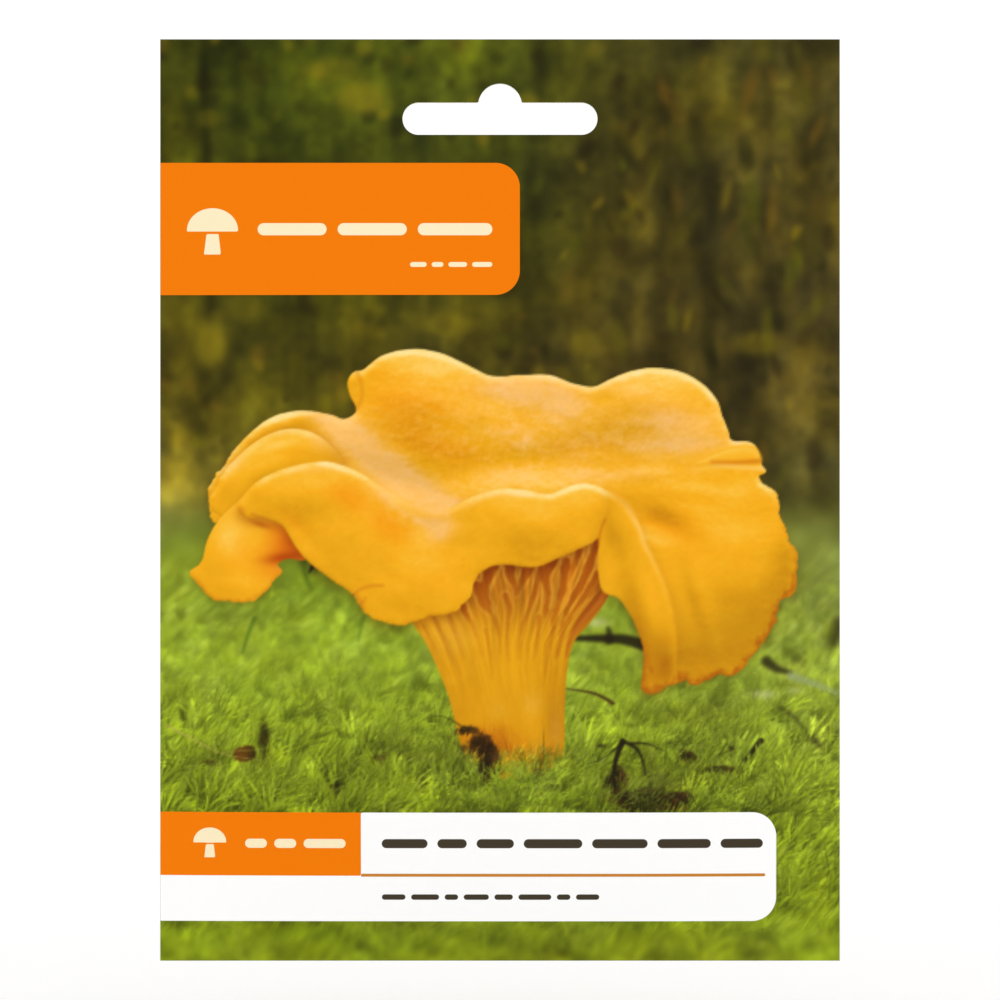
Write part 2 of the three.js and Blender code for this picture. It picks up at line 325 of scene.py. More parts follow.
def tufts(rng, image, lean, top, bottom, count, left=LEFT, right=RIGHT):
    """Tufts of fine shoots, each fanning out from its own root, drawn from the farthest to the nearest."""
    per_tuft = 26
    y = np.sort(rng.uniform(top, bottom, count))
    x = rng.uniform(left, right, count)
    row, column = dot_at(x, y)
    size = np.clip((y - 84) / 34, 0.22, 1.15) * rng.uniform(0.7, 1.3, count)
    middle = lean[row, column] * 0.8 + rng.normal(0, 0.25, count)
    fan = rng.uniform(-1, 1, (count, per_tuft))
    angle = middle[:, None] + 0.55 * fan + rng.normal(0, 0.12, fan.shape)
    curl = 0.9 * fan + rng.normal(0, 0.5, fan.shape)
    length = size[:, None] * rng.uniform(1.8, 4.4, fan.shape)
    root_x = x[:, None] + size[:, None] * (0.9 * fan + rng.normal(0, 0.3, fan.shape))
    root_y = y[:, None] + rng.uniform(-0.5, 0.5, fan.shape)
    tone = np.exp(rng.normal(0, 0.10, (count, 1)) + rng.normal(0, 0.16, fan.shape))
    green = mix(image[row, column][:, None], rgb(112, 136, 26), 0.36) * tone[..., None]
    tip = mix(green * 1.10, rgb(194, 206, 112), np.clip(rng.normal(0.26, 0.16, fan.shape), 0, 0.6))
    return draw_shoots(image, (root_x, root_y, angle, curl, length), green, tip)


def strands(rng, image, lean, top, bottom, count):
    """Clumps of long soft strands that sweep the same way, drawn from the farthest to the nearest."""
    per_clump = 15
    y = np.sort(rng.uniform(top, bottom, count))
    x = rng.uniform(LEFT, RIGHT, count)
    row, column = dot_at(x, y)
    size = np.clip((y - 80) / 36, 0.35, 1.25) * rng.uniform(0.7, 1.2, count)
    fan = rng.uniform(-1, 1, (count, per_clump))
    middle = lean[row, column] * 0.75 + rng.normal(0, 0.35, count)
    angle = middle[:, None] + 0.35 * fan + rng.normal(0, 0.10, fan.shape)
    curl = 0.7 * fan + 0.35 + rng.normal(0, 0.3, fan.shape)
    length = size[:, None] * rng.uniform(2.6, 5.4, fan.shape)
    root_x = x[:, None] + size[:, None] * (1.1 * fan + rng.normal(0, 0.4, fan.shape))
    root_y = y[:, None] + rng.uniform(-0.8, 0.8, fan.shape)
    tone = np.exp(rng.normal(0, 0.11, (count, 1)) + rng.normal(0, 0.13, fan.shape)) * 0.97
    green = mix(image[row, column][:, None], rgb(132, 150, 24), 0.35) * tone[..., None]
    tip = mix(green * 1.04, rgb(188, 198, 104), np.clip(rng.normal(0.18, 0.14, fan.shape), 0, 0.5))
    return draw_shoots(image, (root_x, root_y, angle, curl, length), green, tip, thick=3)


def draw_shoots(image, shoots, green, tip, thick=1):
    """Draws curved strokes from the farthest root to the nearest, dark at the root and pale at the tip."""
    order = np.argsort(shoots[1].ravel(), kind="stable")
    root_x, root_y, angle, curl, length = (a.ravel()[order] for a in shoots)
    green, tip = (c.reshape(-1, 3)[order].astype(np.float32) for c in (green, tip))
    steps = 44  # dots along each shoot
    t = np.linspace(0, 1, steps)[None, :]
    bend = angle[:, None] + curl[:, None] * t
    x = root_x[:, None] + length[:, None] * np.cumsum(np.sin(bend), 1) / steps
    y = root_y[:, None] - length[:, None] * np.cumsum(np.cos(bend), 1) / steps
    green, tip = green[:, None], tip[:, None]
    root = green * (0.45 + 0.40 * ramp(118, 100, root_y)[:, None, None])
    colour = mix(mix(root, green, ramp(0, 0.55, t)), tip, ramp(0.45, 1.0, t))
    share = (0.35 + 0.6 * ramp(0.0, 0.35, t)) * ramp(1.05, 0.8, t) * np.ones_like(x)
    column = ((x - LEFT) * DOTS).astype(int)
    row = ((y - TOP) * DOTS).astype(int)
    inside = (column >= 0) & (column < COLUMNS) & (row >= 0) & (row < ROWS)
    image = image.copy()
    # a later shoot lies over an earlier one, so they go in a batch at a time
    batch = 600
    for start in range(0, len(root_x), batch):
        part = slice(start, start + batch)
        ok = inside[part]
        for side in range(thick):
            r, c = row[part][ok], np.minimum(column[part][ok] + side, COLUMNS - 1)
            old = image[r, c]
            edge = 1.0 if thick == 1 or side == thick // 2 else 0.6
            image[r, c] = old + (colour[part][ok] - old) * (edge * share[part][ok])[:, None]
    return image


# ---------------------------------------------------------------- mushroom
# Its own window of the canvas, in the picture's millimetres
M_LEFT, M_TOP, M_RIGHT, M_BOTTOM = 1.0, 45.0, 112.0, 127.0
# The window's columns and rows of the canvas, and how far right and down its dots lie
MC = slice(int((M_LEFT - LEFT) * DOTS), int((M_RIGHT - LEFT) * DOTS))
MR = slice(int((M_TOP - TOP) * DOTS), int((M_BOTTOM - TOP) * DOTS))
MX = RIGHTWARD[None, MC]
MY = DOWNWARD[MR, None]
SHAPE = (MY.shape[0], MX.shape[1])
CURVE_STEPS = 5  # straight steps between two points of a curve


def spline(points, closed=True):
    """A smooth curve through points, as short straight steps."""
    p = np.array(points, float)
    n = len(p)
    if closed:
        index = np.arange(n)
        a, b, c, d = p[(index - 1) % n], p, p[(index + 1) % n], p[(index + 2) % n]
    else:
        index = np.arange(n - 1)
        a, b, c, d = p[np.maximum(index - 1, 0)], p[index], p[index + 1], p[np.minimum(index + 2, n - 1)]
    t = (np.arange(CURVE_STEPS) / CURVE_STEPS)[None, :, None]
    a, b, c, d = (v[:, None, :] for v in (a, b, c, d))
    bent, cubic = 2 * a - 5 * b + 4 * c - d, 3 * b - a - 3 * c + d
    curve = (0.5 * (2 * b + (c - a) * t + bent * t**2 + cubic * t**3)).reshape(-1, 2)
    return curve if closed else np.vstack([curve, p[-1]])


def distance_to(curve, closed=True):
    """Millimetres to a curve over the mushroom's window; inside a closed one it is positive."""
    half = 2  # worked out at half the canvas's dots, because distance is smooth
    x, y = MX[:, ::half] + 0.5 / DOTS, MY[::half] + 0.5 / DOTS
    best = np.full((y.shape[0], x.shape[1]), 1e9, np.float32)
    inside = np.zeros(best.shape, bool)
    ends = np.roll(curve, -1, 0) if closed else curve[1:]
    for (ax, ay), (bx, by) in zip(curve.astype(np.float32), ends.astype(np.float32)):
        dx, dy = bx - ax, by - ay
        t = np.clip(((x - ax) * dx + (y - ay) * dy) / max(dx * dx + dy * dy, 1e-9), 0, 1)
        best = np.minimum(best, (x - ax - t * dx) ** 2 + (y - ay - t * dy) ** 2)
        if closed and ay != by:
            inside ^= ((ay > y) != (by > y)) & (x < ax + (y - ay) * dx / dy)
    d = np.sqrt(best)
    d = np.where(inside, d, -d) if closed else d
    return enlarge(d)


def linear(count, knots):
    """A matrix that spreads knots values over count places, two to a knot, along straight lines."""
    at = np.clip((np.arange(count) + 0.5) / 2 - 0.5, 0, knots - 1 - 1e-6)
    low = at.astype(int)
    m = np.zeros((count, knots), np.float32)
    m[np.arange(count), low] = 1 - (at - low)
    m[np.arange(count), low + 1] = at - low
    return m


def enlarge(d):
    """A grid at half the canvas's dots, brought up to the mushroom's window."""
    return linear(SHAPE[0], d.shape[0]) @ d.astype(np.float32) @ linear(SHAPE[1], d.shape[1]).T


def haze(rng, wide, high, octaves, fade):
    """Noise over the mushroom's window."""
    return cloud(rng, wide, high, octaves, fade, *SHAPE)


def spot(x, y, wide, high, turn=0.0):
    """A soft spot on the mushroom's window."""
    return soft_patch(MX - x, MY - y, wide, high, turn).astype(np.float32)


def spots(*rows):
    """The sum of soft spots: right, down, half width, half height, turn in degrees, amount."""
    return sum(amount * spot(x, y, wide, high, turn) for x, y, wide, high, turn, amount in rows)


def outline(points):
    """Millimetres inside a smooth closed outline, negative outside it."""
    return distance_to(spline(points))


def line_to(points):
    """Millimetres to a smooth open line."""
    return distance_to(spline(points, closed=False), closed=False)


def streak(points, width):
    """1 along a smooth open line, fading out over width millimetres."""
    return np.exp(-((line_to(points) / width) ** 2))


def lit(height, across=-0.35, down=1.0):
    """How much a relief faces the light, which comes from above and a little from the right."""
    gy, gx = np.gradient(height, 1 / DOTS)
    return gy * down + gx * across


# Tones and their colours
FLESH = (
    (0.0, (100, 44, 4)), (0.2, (168, 98, 7)), (0.4, (206, 141, 13)), (0.55, (231, 163, 18)),
    (0.7, (247, 175, 27)), (0.82, (251, 190, 58)), (1.0, (255, 224, 140)),
)


def flesh(tone):
    """The mushroom's colour, from its darkest tone at 0 to its lightest at 1."""
    knots = [k for k, _ in FLESH]
    channels = [np.interp(tone, knots, [colour[i] / 255 for _, colour in FLESH]) for i in range(3)]
    return np.stack(channels, -1).astype(np.float32)


PEACH = rgb(251, 192, 112)

# Outlines of the mushroom's parts, right and down: the cap, its near rim, the flap that hangs at the right,
# the curl and the fold at the left, the roll at the right, and the stem
CAP = (
    (9.3, 79), (8.0, 75.5), (9, 71.5), (10.5, 69.8), (13, 66.5), (15.5, 64), (18, 62.2), (21, 61.2),
    (24.5, 61), (27.8, 61.6), (30.2, 62.3), (32.3, 61), (31.2, 58.5), (30.8, 56.3), (31.8, 54.7),
    (33.3, 54.3), (36, 52.2), (40, 51), (44, 51.1), (48, 52.3), (51.5, 54.1), (54.5, 55.3), (60, 55.1),
    (64, 55.2), (67.5, 56.5), (71, 57.1), (73.8, 55.8), (77.5, 54.4), (81.5, 54), (85, 54.5), (88.7, 56.4),
    (91.2, 59.2), (92.1, 61.8), (93, 64), (93.7, 65.8), (96.6, 66.1), (97.9, 67.2), (98.3, 69.4),
    (99.4, 70.9), (98.3, 71.8), (98.9, 73.1), (100.7, 73.9), (101.4, 76), (101.9, 79), (103.4, 82.2),
    (104.7, 84.6), (104.5, 88), (103.4, 91), (101.3, 92.8), (101, 95.6), (99.2, 98.4), (97, 101.4),
    (94, 104.3), (91.7, 104.3), (87.5, 105.8), (85.7, 104.9), (82.7, 106.3), (80.4, 107.2), (78.9, 106.2),
    (79.3, 102), (78.9, 99), (77.4, 95), (75, 91.6), (72.5, 90.4), (71.7, 86.3), (71.5, 80.7), (65.6, 79),
    (52, 79), (40, 79), (28, 77), (18, 75), (13, 76),
)
RIM = (
    (12.6, 76.8), (14.7, 73.7), (17.8, 71.5), (22, 70), (26.8, 69.3), (30.2, 70), (33.3, 71.4), (35.7, 73),
    (39.4, 75.4), (43.5, 77.3), (47.2, 77), (50, 75.6), (53, 74.4), (56.5, 73.7), (60, 74), (63.8, 74.6),
    (67.4, 73.2), (70.6, 73), (73.6, 74.3), (74.8, 75.8), (73.8, 77.6), (72.9, 79), (72.2, 81),
    (71.2, 82.3), (68.3, 83.8), (64.2, 85.6), (61.9, 86.5), (59.5, 86.5), (57.4, 86.2), (54.6, 86.4),
    (52.6, 87.5), (51.5, 89), (51.2, 90.4), (50.2, 92.2), (47.8, 94), (44, 94.7), (40.8, 95.8),
    (37.8, 95.8), (34.4, 94.5), (32.7, 92.7), (31.6, 91), (29.5, 89.4), (26.8, 87.6), (24, 85.3),
    (21.9, 82.5), (20.2, 79.9), (17.2, 78.7), (15.2, 78.6), (13.6, 78),
)
FLAP = (
    (73.4, 74.2), (76.4, 76.1), (78.4, 79.2), (79.6, 82.5), (81.1, 85.6), (82.7, 89.3), (84, 94),
    (84.6, 98.6), (84.4, 102.7), (83.2, 105.8), (80.4, 107.2), (78.9, 106.2), (79.3, 102), (78.9, 99),
    (77.4, 95), (75.1, 91.6), (72.5, 90.4), (71.7, 86.3), (71.9, 82.5), (71.4, 80.7), (72.8, 78.8),
    (73.3, 76.4),
)
CURL = (
    (11.9, 76.7), (9.5, 79.1), (7.8, 82.2), (6.8, 85.8), (4.9, 87.4), (6.4, 89.5), (7.9, 91.3),
    (11.2, 92.3), (15, 92), (17.4, 90.7), (18.6, 88.8), (20, 87.4), (19.4, 86), (21.2, 85.2), (23.9, 85.4),
    (24.5, 83), (20, 76.5), (15, 74.5),
)
FOLD = (
    (8.4, 77), (9.2, 73.5), (10.6, 71), (12.5, 68.8), (15, 66.6), (17.8, 64.9), (20.8, 64), (24, 64.2),
    (26.8, 65.6), (29.2, 68), (31, 71), (26, 76), (14, 79),
)
ROLL = (
    (86, 70.0), (89.5, 68.4), (93.2, 67.0), (96.8, 66.7), (98.4, 68.2), (98.2, 69.9), (95, 70.4),
    (90, 70.6),
)
STEM = (
    (41.3, 95), (43.7, 99.1), (45.7, 103.4), (47.2, 107.2), (48.2, 111), (49.2, 115), (50.6, 118),
    (54, 120.5), (58, 121.2), (63, 120.5), (65.6, 118), (66.3, 114.3), (66.3, 110.2), (66.5, 105.6),
    (67, 101.5), (68, 98.5), (69.9, 96.3), (71.8, 93.9), (73.2, 91.7), (74.5, 88), (73, 79), (60, 78),
    (48, 80), (40, 88),
)
# Heights down the stem, with how far left and right its fibres reach there
FAN = (
    (80, 24, 77), (87, 32.5, 76.4), (92, 37.6, 73.6), (95.8, 41.2, 70.4), (99, 43.6, 67.8),
    (103.4, 45.7, 66.7), (107, 47.2, 66.3), (111, 48.2, 66.3), (115, 49.2, 66.2), (122, 50, 65.6),
)


def cover(d, width=1.0):
    """How much of each dot a shape covers, its edge softened over width dots."""
    return np.clip(d * DOTS / width + 0.5, 0, 1)


# The gaps between the false gills: how wide and how dark each is, then its points from the cap down
GAPS = (
    (0.75, 0.8, (49.5, 92.6), (50.2, 94.2), (51.0, 95.8)),
    (1.50, 1.0, (54.6, 86.4), (53.4, 89.4), (53.1, 91.4), (54.5, 93.8)),
    (0.90, 0.9, (52.0, 89.6), (53.0, 92.6), (54.8, 94.6)),
    (1.30, 0.9, (57.2, 85.6), (57.5, 88.2), (58.4, 90.2)),
    (1.20, 0.9, (61.0, 85.6), (59.4, 88.8), (58.5, 90.9)),
    (0.60, 0.6, (56.6, 91.2), (57.3, 93.4), (56.9, 95.8)),
    (0.75, 0.8, (62.7, 85.8), (61.7, 90.0), (60.8, 92.5), (59.6, 96.0)),
    (1.20, 1.0, (64.4, 85.0), (63.1, 88.2), (63.5, 91.0), (63.0, 94.4)),
    (1.00, 0.9, (66.6, 85.6), (66.0, 90.0), (64.9, 93.6), (64.2, 96.4)),
    (0.70, 0.8, (68.8, 83.8), (67.7, 86.6), (66.9, 88.8)),
    (1.00, 1.0, (71.6, 82.6), (69.9, 87.6), (68.0, 91.2), (66.8, 93.5), (65.4, 97.6)),
    (0.60, 0.8, (71.6, 87.6), (69.6, 91.2), (67.6, 94.0), (66.0, 97.2), (64.9, 101.6)),
    (0.80, 0.9, (73.4, 84.6), (72.0, 88.8), (70.4, 91.4)),
    (0.45, 0.45, (62.2, 94.6), (61.9, 98.0), (61.4, 101.4)),
    (0.45, 0.45, (64.6, 96.4), (63.7, 100.4), (63.2, 104.4)),
    (0.45, 0.35, (59.6, 95.6), (59.0, 98.6), (58.8, 101.6)),
    (0.45, 0.35, (54.8, 94.8), (55.6, 97.4), (55.8, 100.6)),
    (0.45, 0.35, (57.0, 95.8), (56.9, 98.6), (57.2, 102.0)),
    (0.40, 0.35, (51.2, 95.6), (52.2, 98.6), (52.8, 101.4)),
    (0.40, 0.35, (47.4, 94.6), (48.6, 97.8), (49.8, 101.4)),
    (0.40, 0.35, (45.0, 94.8), (46.6, 98.6), (48.0, 102.4)),
    (0.40, 0.30, (43.4, 96.2), (45.0, 100.0), (46.8, 104.4)),
    (0.40, 0.30, (53.4, 96.8), (54.2, 101.0), (54.4, 105.0)),
)


def gills(waver):
    """How deep in a gap between the false gills each dot lies, and how much on a pale ridge along one."""
    gap = np.zeros(SHAPE, np.float32)
    ridge = np.zeros(SHAPE, np.float32)
    for wide, dark, *points in GAPS:
        line = line_to(points)
        top, bottom = points[0][1], points[-1][1]
        taper = np.clip((bottom - MY) / (bottom - top), 0, 1) ** 0.7
        half = 0.57 * wide * (0.25 + 0.75 * taper)
        gap = np.maximum(gap, ramp(0.40, -0.20, line - half + waver * wide) * dark * (0.4 + 0.6 * taper))
        ridge = np.maximum(ridge, np.exp(-((line - half - 0.38) / 0.30) ** 2) * (0.4 + 0.6 * taper) * dark)
    return gap, ridge


# Where the stem is lighter or darker, as rows for spots()
STEM_TONES = (
    (58, 103, 6, 6, 0, 0.03), (53.5, 117, 6, 4, 0, -0.16), (60, 118.5, 7, 3, 0, -0.13),
    (64.5, 112, 2.0, 8, 0, -0.10), (48, 100.5, 3, 6, -30, -0.05), (50, 109, 2.6, 7, 10, -0.04),
    (61, 110, 1.8, 3, 0, 0.05), (49, 98, 5, 4, 40, 0.04), (60, 87, 14, 2.6, 0, -0.07),
    (70, 96, 3, 7, 20, -0.10), (60, 94, 12, 4, 0, -0.04),
)


def paint_stem(rng, view):
    """The stem and the false gills that spread from it under the cap."""
    d = outline(STEM)
    heights, left, right = np.array(FAN).T
    left, right = np.interp(MY, heights, left), np.interp(MY, heights, right)
    t = (MX - left) / (right - left)
    wobble = 0.010 * haze(rng, 5, 6, 3, 0.5)
    low = (MY - M_TOP) / (M_BOTTOM - M_TOP)
    fibre = lookup(rng.uniform(-1, 1, (12, 190)).astype(np.float32), low, t + wobble)
    coarse = lookup(rng.uniform(-1, 1, (7, 46)).astype(np.float32), low, t + 2 * wobble)
    fine = haze(rng, 0.5, 1.6, 3, 0.8)
    tone = 0.505 - 0.55 * np.clip(t - 0.66, 0, 1) ** 1.5 - 0.40 * np.clip(0.14 - t, 0, 1)
    lined = ramp(112, 100, MY)
    tone = tone + 0.065 * coarse * lined + 0.085 * fibre * lined + 0.025 * fine
    tone = tone + 0.015 * haze(rng, 2, 2, 3, 0.7)
    tone = tone + spots(*STEM_TONES)
    colour = flesh(tone)
    warm = spots((54, 115.5, 6, 3.4, 0, 0.75), (60, 117, 6, 2.4, 0, 0.5), (57, 88, 16, 4, 0, 0.35))
    colour = mix(colour, colour * rgb(252, 206, 120), np.clip(warm, 0, 1))
    dusty = spots(
        (61, 109, 2.2, 3.0, 0, 0.4), (55.5, 110, 2.0, 2.0, 0, 0.25), (64.8, 113, 1.6, 5, 0, 0.35),
        (48, 98, 6, 5, 40, 0.30),
    )
    colour = mix(colour, rgb(226, 176, 88), np.clip(dusty + 0.15 * fine, 0, 0.6) * 0.8)
    under = ramp(99, 90, MY) * ramp(46, 50, MX)
    colour = mix(colour, rgb(186, 110, 20) * (1 + 0.18 * fibre + 0.12 * coarse)[..., None], under * 0.9)
    gap, ridge = gills(0.34 * haze(rng, 1.4, 1.4, 2, 0.7))
    pale = ridge * (1 - gap) * ramp(104, 93, MY)
    colour = mix(colour, rgb(234, 174, 62), pale * (0.60 + 0.25 * fibre))
    shadow = ramp(93, 86, MY)
    deep = mix(flesh(0.26 + 0.10 * coarse - 0.10 * shadow), rgb(158, 60, 8), 0.6)
    colour = mix(colour, deep, gap * 0.95)
    # the underside turns away at the right
    turned = line_to(((74.2, 89.6), (71.0, 93.2), (68.6, 96.0), (67.0, 98.8), (66.5, 101.2)))
    away = ramp(0.4, -0.2, turned - ramp(102, 90, MY))
    colour = mix(colour, mix(rgb(140, 58, 10), rgb(196, 112, 26), (0.45 + 0.55 * coarse)[..., None]),
                 away * 0.9)
    return mix(view, colour, cover(d))


def lookup(grid, v, u):
    """A grid of values read with smooth steps at v down and u across, both from 0 to 1."""
    v = np.clip(np.broadcast_to(v, SHAPE), 0, 0.9999) * (grid.shape[0] - 1)
    u = np.clip(np.broadcast_to(u, SHAPE), 0, 0.9999) * (grid.shape[1] - 1)
    i, j = v.astype(int), u.astype(int)
    a, b = v - i, u - j
    a, b = a * a * (3 - 2 * a), b * b * (3 - 2 * b)
    return (grid[i, j] * (1 - a) * (1 - b) + grid[i + 1, j] * a * (1 - b) + grid[i, j + 1] * (1 - a) * b
            + grid[i + 1, j + 1] * a * b).astype(np.float32)


def shade_below(view, d, reach, strength, drop=0.6):
    """The soft shadow that a lobe throws on what lies behind it, a little lower down."""
    shadow = blur(np.roll(cover(d), int(drop * DOTS), 0), reach)
    return view * (1 - shadow[..., None] * strength * np.array([0.55, 0.8, 1.0], np.float32))


def rounded(d, radius):
    """The height of an edge rounded to a radius, d inside the edge."""
    u = np.clip(d / radius, 0, 1)
    return radius * np.sqrt(np.clip(1 - (1 - u) ** 2, 0, 1))


def peach_bloom(colour, tone, share):
    """The pale, dusty bloom that lies in the cap's hollow and along its folds."""
    light = np.clip(1 + 0.35 * (tone - 0.70), 0.94, 1.04)
    return mix(colour, PEACH * light[..., None], np.clip(share, 0, 0.85))


def blotched(rng, colour):
    """Uneven yellow and orange, as living flesh has."""
    hue = 0.6 * haze(rng, 3.0, 1.8, 4, 0.8) + 0.5 * haze(rng, 0.8, 0.6, 2, 0.7)
    return colour * (1 + hue[..., None] * np.array([0.006, 0.040, 0.22], np.float32))


# The cap as rows for spots(): where it stands out in millimetres, where it is lighter or darker, and where
# its bloom lies
CAP_RELIEF = (
    (42, 58.5, 11.5, 10, 12, 6.5),  # back left hump
    (80, 60, 14, 9, 4, 5.0),  # back right hump
    (62, 57, 9, 5, 0, 1.5),  # between them
    (38, 72.5, 13, 4, 22, -2.0),  # hollow
    (58, 70.5, 24, 5, -6, -3.0),
    (93, 86, 14, 18, 15, 5.0),  # right lobe
    (82, 79.5, 7, 3.6, 28, -3.0),
    (21, 62.8, 9, 2.8, -24, 2.2),  # far left fold
    (90, 68.5, 8, 2, 4, 0.5), (89.5, 95, 2.0, 10, -14, 0.9), (93, 98, 2.4, 8, 22, 0.5),
    (98, 93, 2.2, 8, 25, -0.5), (86.6, 92, 1.6, 8, -12, -0.7), (88, 74.5, 9, 1.8, 8, 0.5),
    (80, 71.5, 7, 1.4, -4, 0.5), (70, 64, 5, 2.4, 40, 0.4),
)
CAP_TONES = (
    (46.0, 67.4, 8.5, 2.4, 10, -0.07), (52, 62.5, 2.0, 6, 20, -0.05), (40, 58.5, 9, 5, 12, 0.03),
    (82, 79.5, 9, 3.2, 28, -0.13), (95, 95, 12, 12, 0, -0.14), (102.5, 87, 3.5, 9, 5, -0.16),
    (98, 97, 8, 9, 0, -0.12), (93, 102, 10, 5, -12, -0.12), (86, 101, 6, 6, 0, -0.23),
    (99, 76.5, 5, 3, 40, -0.08), (93, 76, 8, 5, 20, -0.05), (42, 74, 8, 3, 10, -0.05),
    (57, 62, 16, 6, 0, 0.03), (86.6, 92, 1.4, 9, -12, -0.05), (60, 71.5, 12, 3, 0, 0.05),
    (88, 68.8, 9, 1.2, 3, 0.07), (69, 66, 12, 2.4, -8, -0.05), (72.6, 57.6, 1.6, 3, 60, -0.07),
    (91, 86, 5, 8, 0, 0.03), (46, 73.4, 10, 3.2, 12, -0.07), (79, 84, 8, 9, 0, -0.03),
    (103, 84, 3, 12, 0, -0.07), (101, 90.5, 3, 6, 0, -0.06), (76, 76, 3, 3, 40, -0.10),
    (30, 64.5, 5, 1.6, 25, 0.03), (80, 74, 8, 1.2, -8, 0.05),
)
CAP_PEACH = (
    (32, 65.6, 9, 4.2, 32, 1.15), (41, 73.4, 10, 4.0, 28, 1.2), (47, 76.4, 5, 2.0, 0, 0.9),
    (60, 71.8, 16, 2.4, -4, 0.5), (58, 57.6, 9, 3.4, 4, 1.0), (66, 59.6, 7, 4.0, 30, 0.8),
    (86, 66.6, 12, 2.2, -4, 0.8), (76, 71.5, 12, 1.8, -5, 0.5), (27, 62.4, 6, 1.4, 18, 0.5),
    (62, 66, 18, 4, 0, 0.38), (60, 61, 26, 6, 0, 0.24), (82, 63, 13, 7, 0, 0.22),
    (85, 62.6, 9, 2.6, 8, 0.6), (38, 70.2, 7, 2.4, 24, 0.5), (77, 57.5, 6, 2.2, 10, 0.3),
)


def paint_cap(rng, view):
    """The cap's top, as far as its ragged right lobe."""
    d = outline(CAP)
    rag = haze(rng, 2.0, 2.0, 3, 0.65)
    ragged = np.clip(ramp(90, 97, MX) * ramp(66, 74, MY) + ramp(94, 103, MY) + ramp(14, 9, MX), 0, 1)
    d = d + 0.5 * rag * ragged + 0.10 * rag
    mottle = haze(rng, 1.5, 0.9, 4, 0.75)
    soft = haze(rng, 5, 2.4, 3, 0.6)
    felt = haze(rng, 0.5, 0.4, 3, 0.9)
    swell = haze(rng, 12, 7, 2, 0.5)
    calm = 1 - 0.75 * spot(91, 88, 17, 19, 15)
    relief = spots(*CAP_RELIEF) + 0.26 * rounded(d, 2.0) + 0.9 * swell
    relief = relief + (0.04 * mottle + 0.22 * soft) * calm
    light = lit(relief, across=-0.25)
    tone = 0.70 + 0.20 * np.clip(light, -1.4, 0.9)
    tone = tone + spots(*CAP_TONES)
    edge_up = np.clip(np.gradient(d, 1 / DOTS, axis=0), 0, 1)
    brim = 0.20 + 0.12 * haze(rng, 5, 5, 3, 0.6)
    tone = tone + brim * edge_up * np.exp(-((d - 0.45) / 0.55) ** 2) * ramp(80, 66, MY)
    tone = tone + 0.03 * felt + (0.035 * mottle + 0.03 * soft) * calm
    colour = flesh(tone)
    olive = spots((93, 98, 10, 7, -20, 0.65), (100, 91, 3.5, 8, 10, 0.35), (85.5, 97, 2.5, 9, -8, 0.35))
    colour = mix(colour, rgb(200, 142, 16), np.clip(olive, 0, 1))
    # deeper orange in the folds and low on the hump
    warm = spots(
        (46, 67, 9, 2.8, 12, 0.7), (83, 79.5, 8, 4, 28, 0.6), (70, 67, 9, 2.5, 0, 0.3),
        (41, 60, 10, 7, 0, 0.75), (84, 61, 8, 5, 0, 0.2), (24, 66, 5, 2, -10, 0.3),
    )
    colour = mix(colour, colour * rgb(255, 228, 150), np.clip(warm, 0, 1))
    peach = spots(*CAP_PEACH) + (0.45 * mottle + 0.30 * felt + 0.40 * soft) * spot(60, 66, 46, 13)
    colour = blotched(rng, peach_bloom(colour, tone, peach))
    # weathered brown edge of the right lobe
    low = ramp(82, 90, MY) * ramp(76, 80, MX)
    worn = ramp(1.1, 0.0, d + haze(rng, 1.2, 1.2, 3, 0.7)) * low
    colour = mix(colour, rgb(176, 92, 10), worn * 0.8)
    thin = ramp(0.7, 0.1, d) * ramp(100, 103, MX) * 0.5
    colour = mix(colour, rgb(214, 130, 16), thin)
    view = mix(shade_below(view, d, 0.8, 0.25), colour, cover(d))
    return paint_roll(view, d, mottle)


def paint_roll(view, d, mottle):
    """The small roll of the cap's edge at its right, and the notch at its left."""
    roll = outline(ROLL)
    light = np.clip(lit(rounded(roll, 1.7), across=-0.1), -0.9, 0.8)
    rolled = flesh(0.73 + 0.14 * light * ramp(0.0, 0.6, roll) + 0.03 * mottle)
    view = mix(view, rolled, cover(roll, 5) * ramp(86, 91, MX))
    for points, tint, share in (
        (((90.4, 69.4), (94, 69.5), (98.2, 69.2)), rgb(214, 122, 16), 0.75),
        (((86.0, 70.8), (91, 70.1), (95, 70.2), (99.2, 70.6)), rgb(255, 206, 116), 0.60),
    ):
        view = mix(view, tint, streak(points, 0.42) * ramp(85, 93, MX) * share * cover(d))
    notch = ((32.4, 60.6), (33.2, 58.6), (33, 56.4), (32.4, 54.8))
    return mix(view, rgb(222, 140, 16), streak(notch, 0.35) * 0.6)


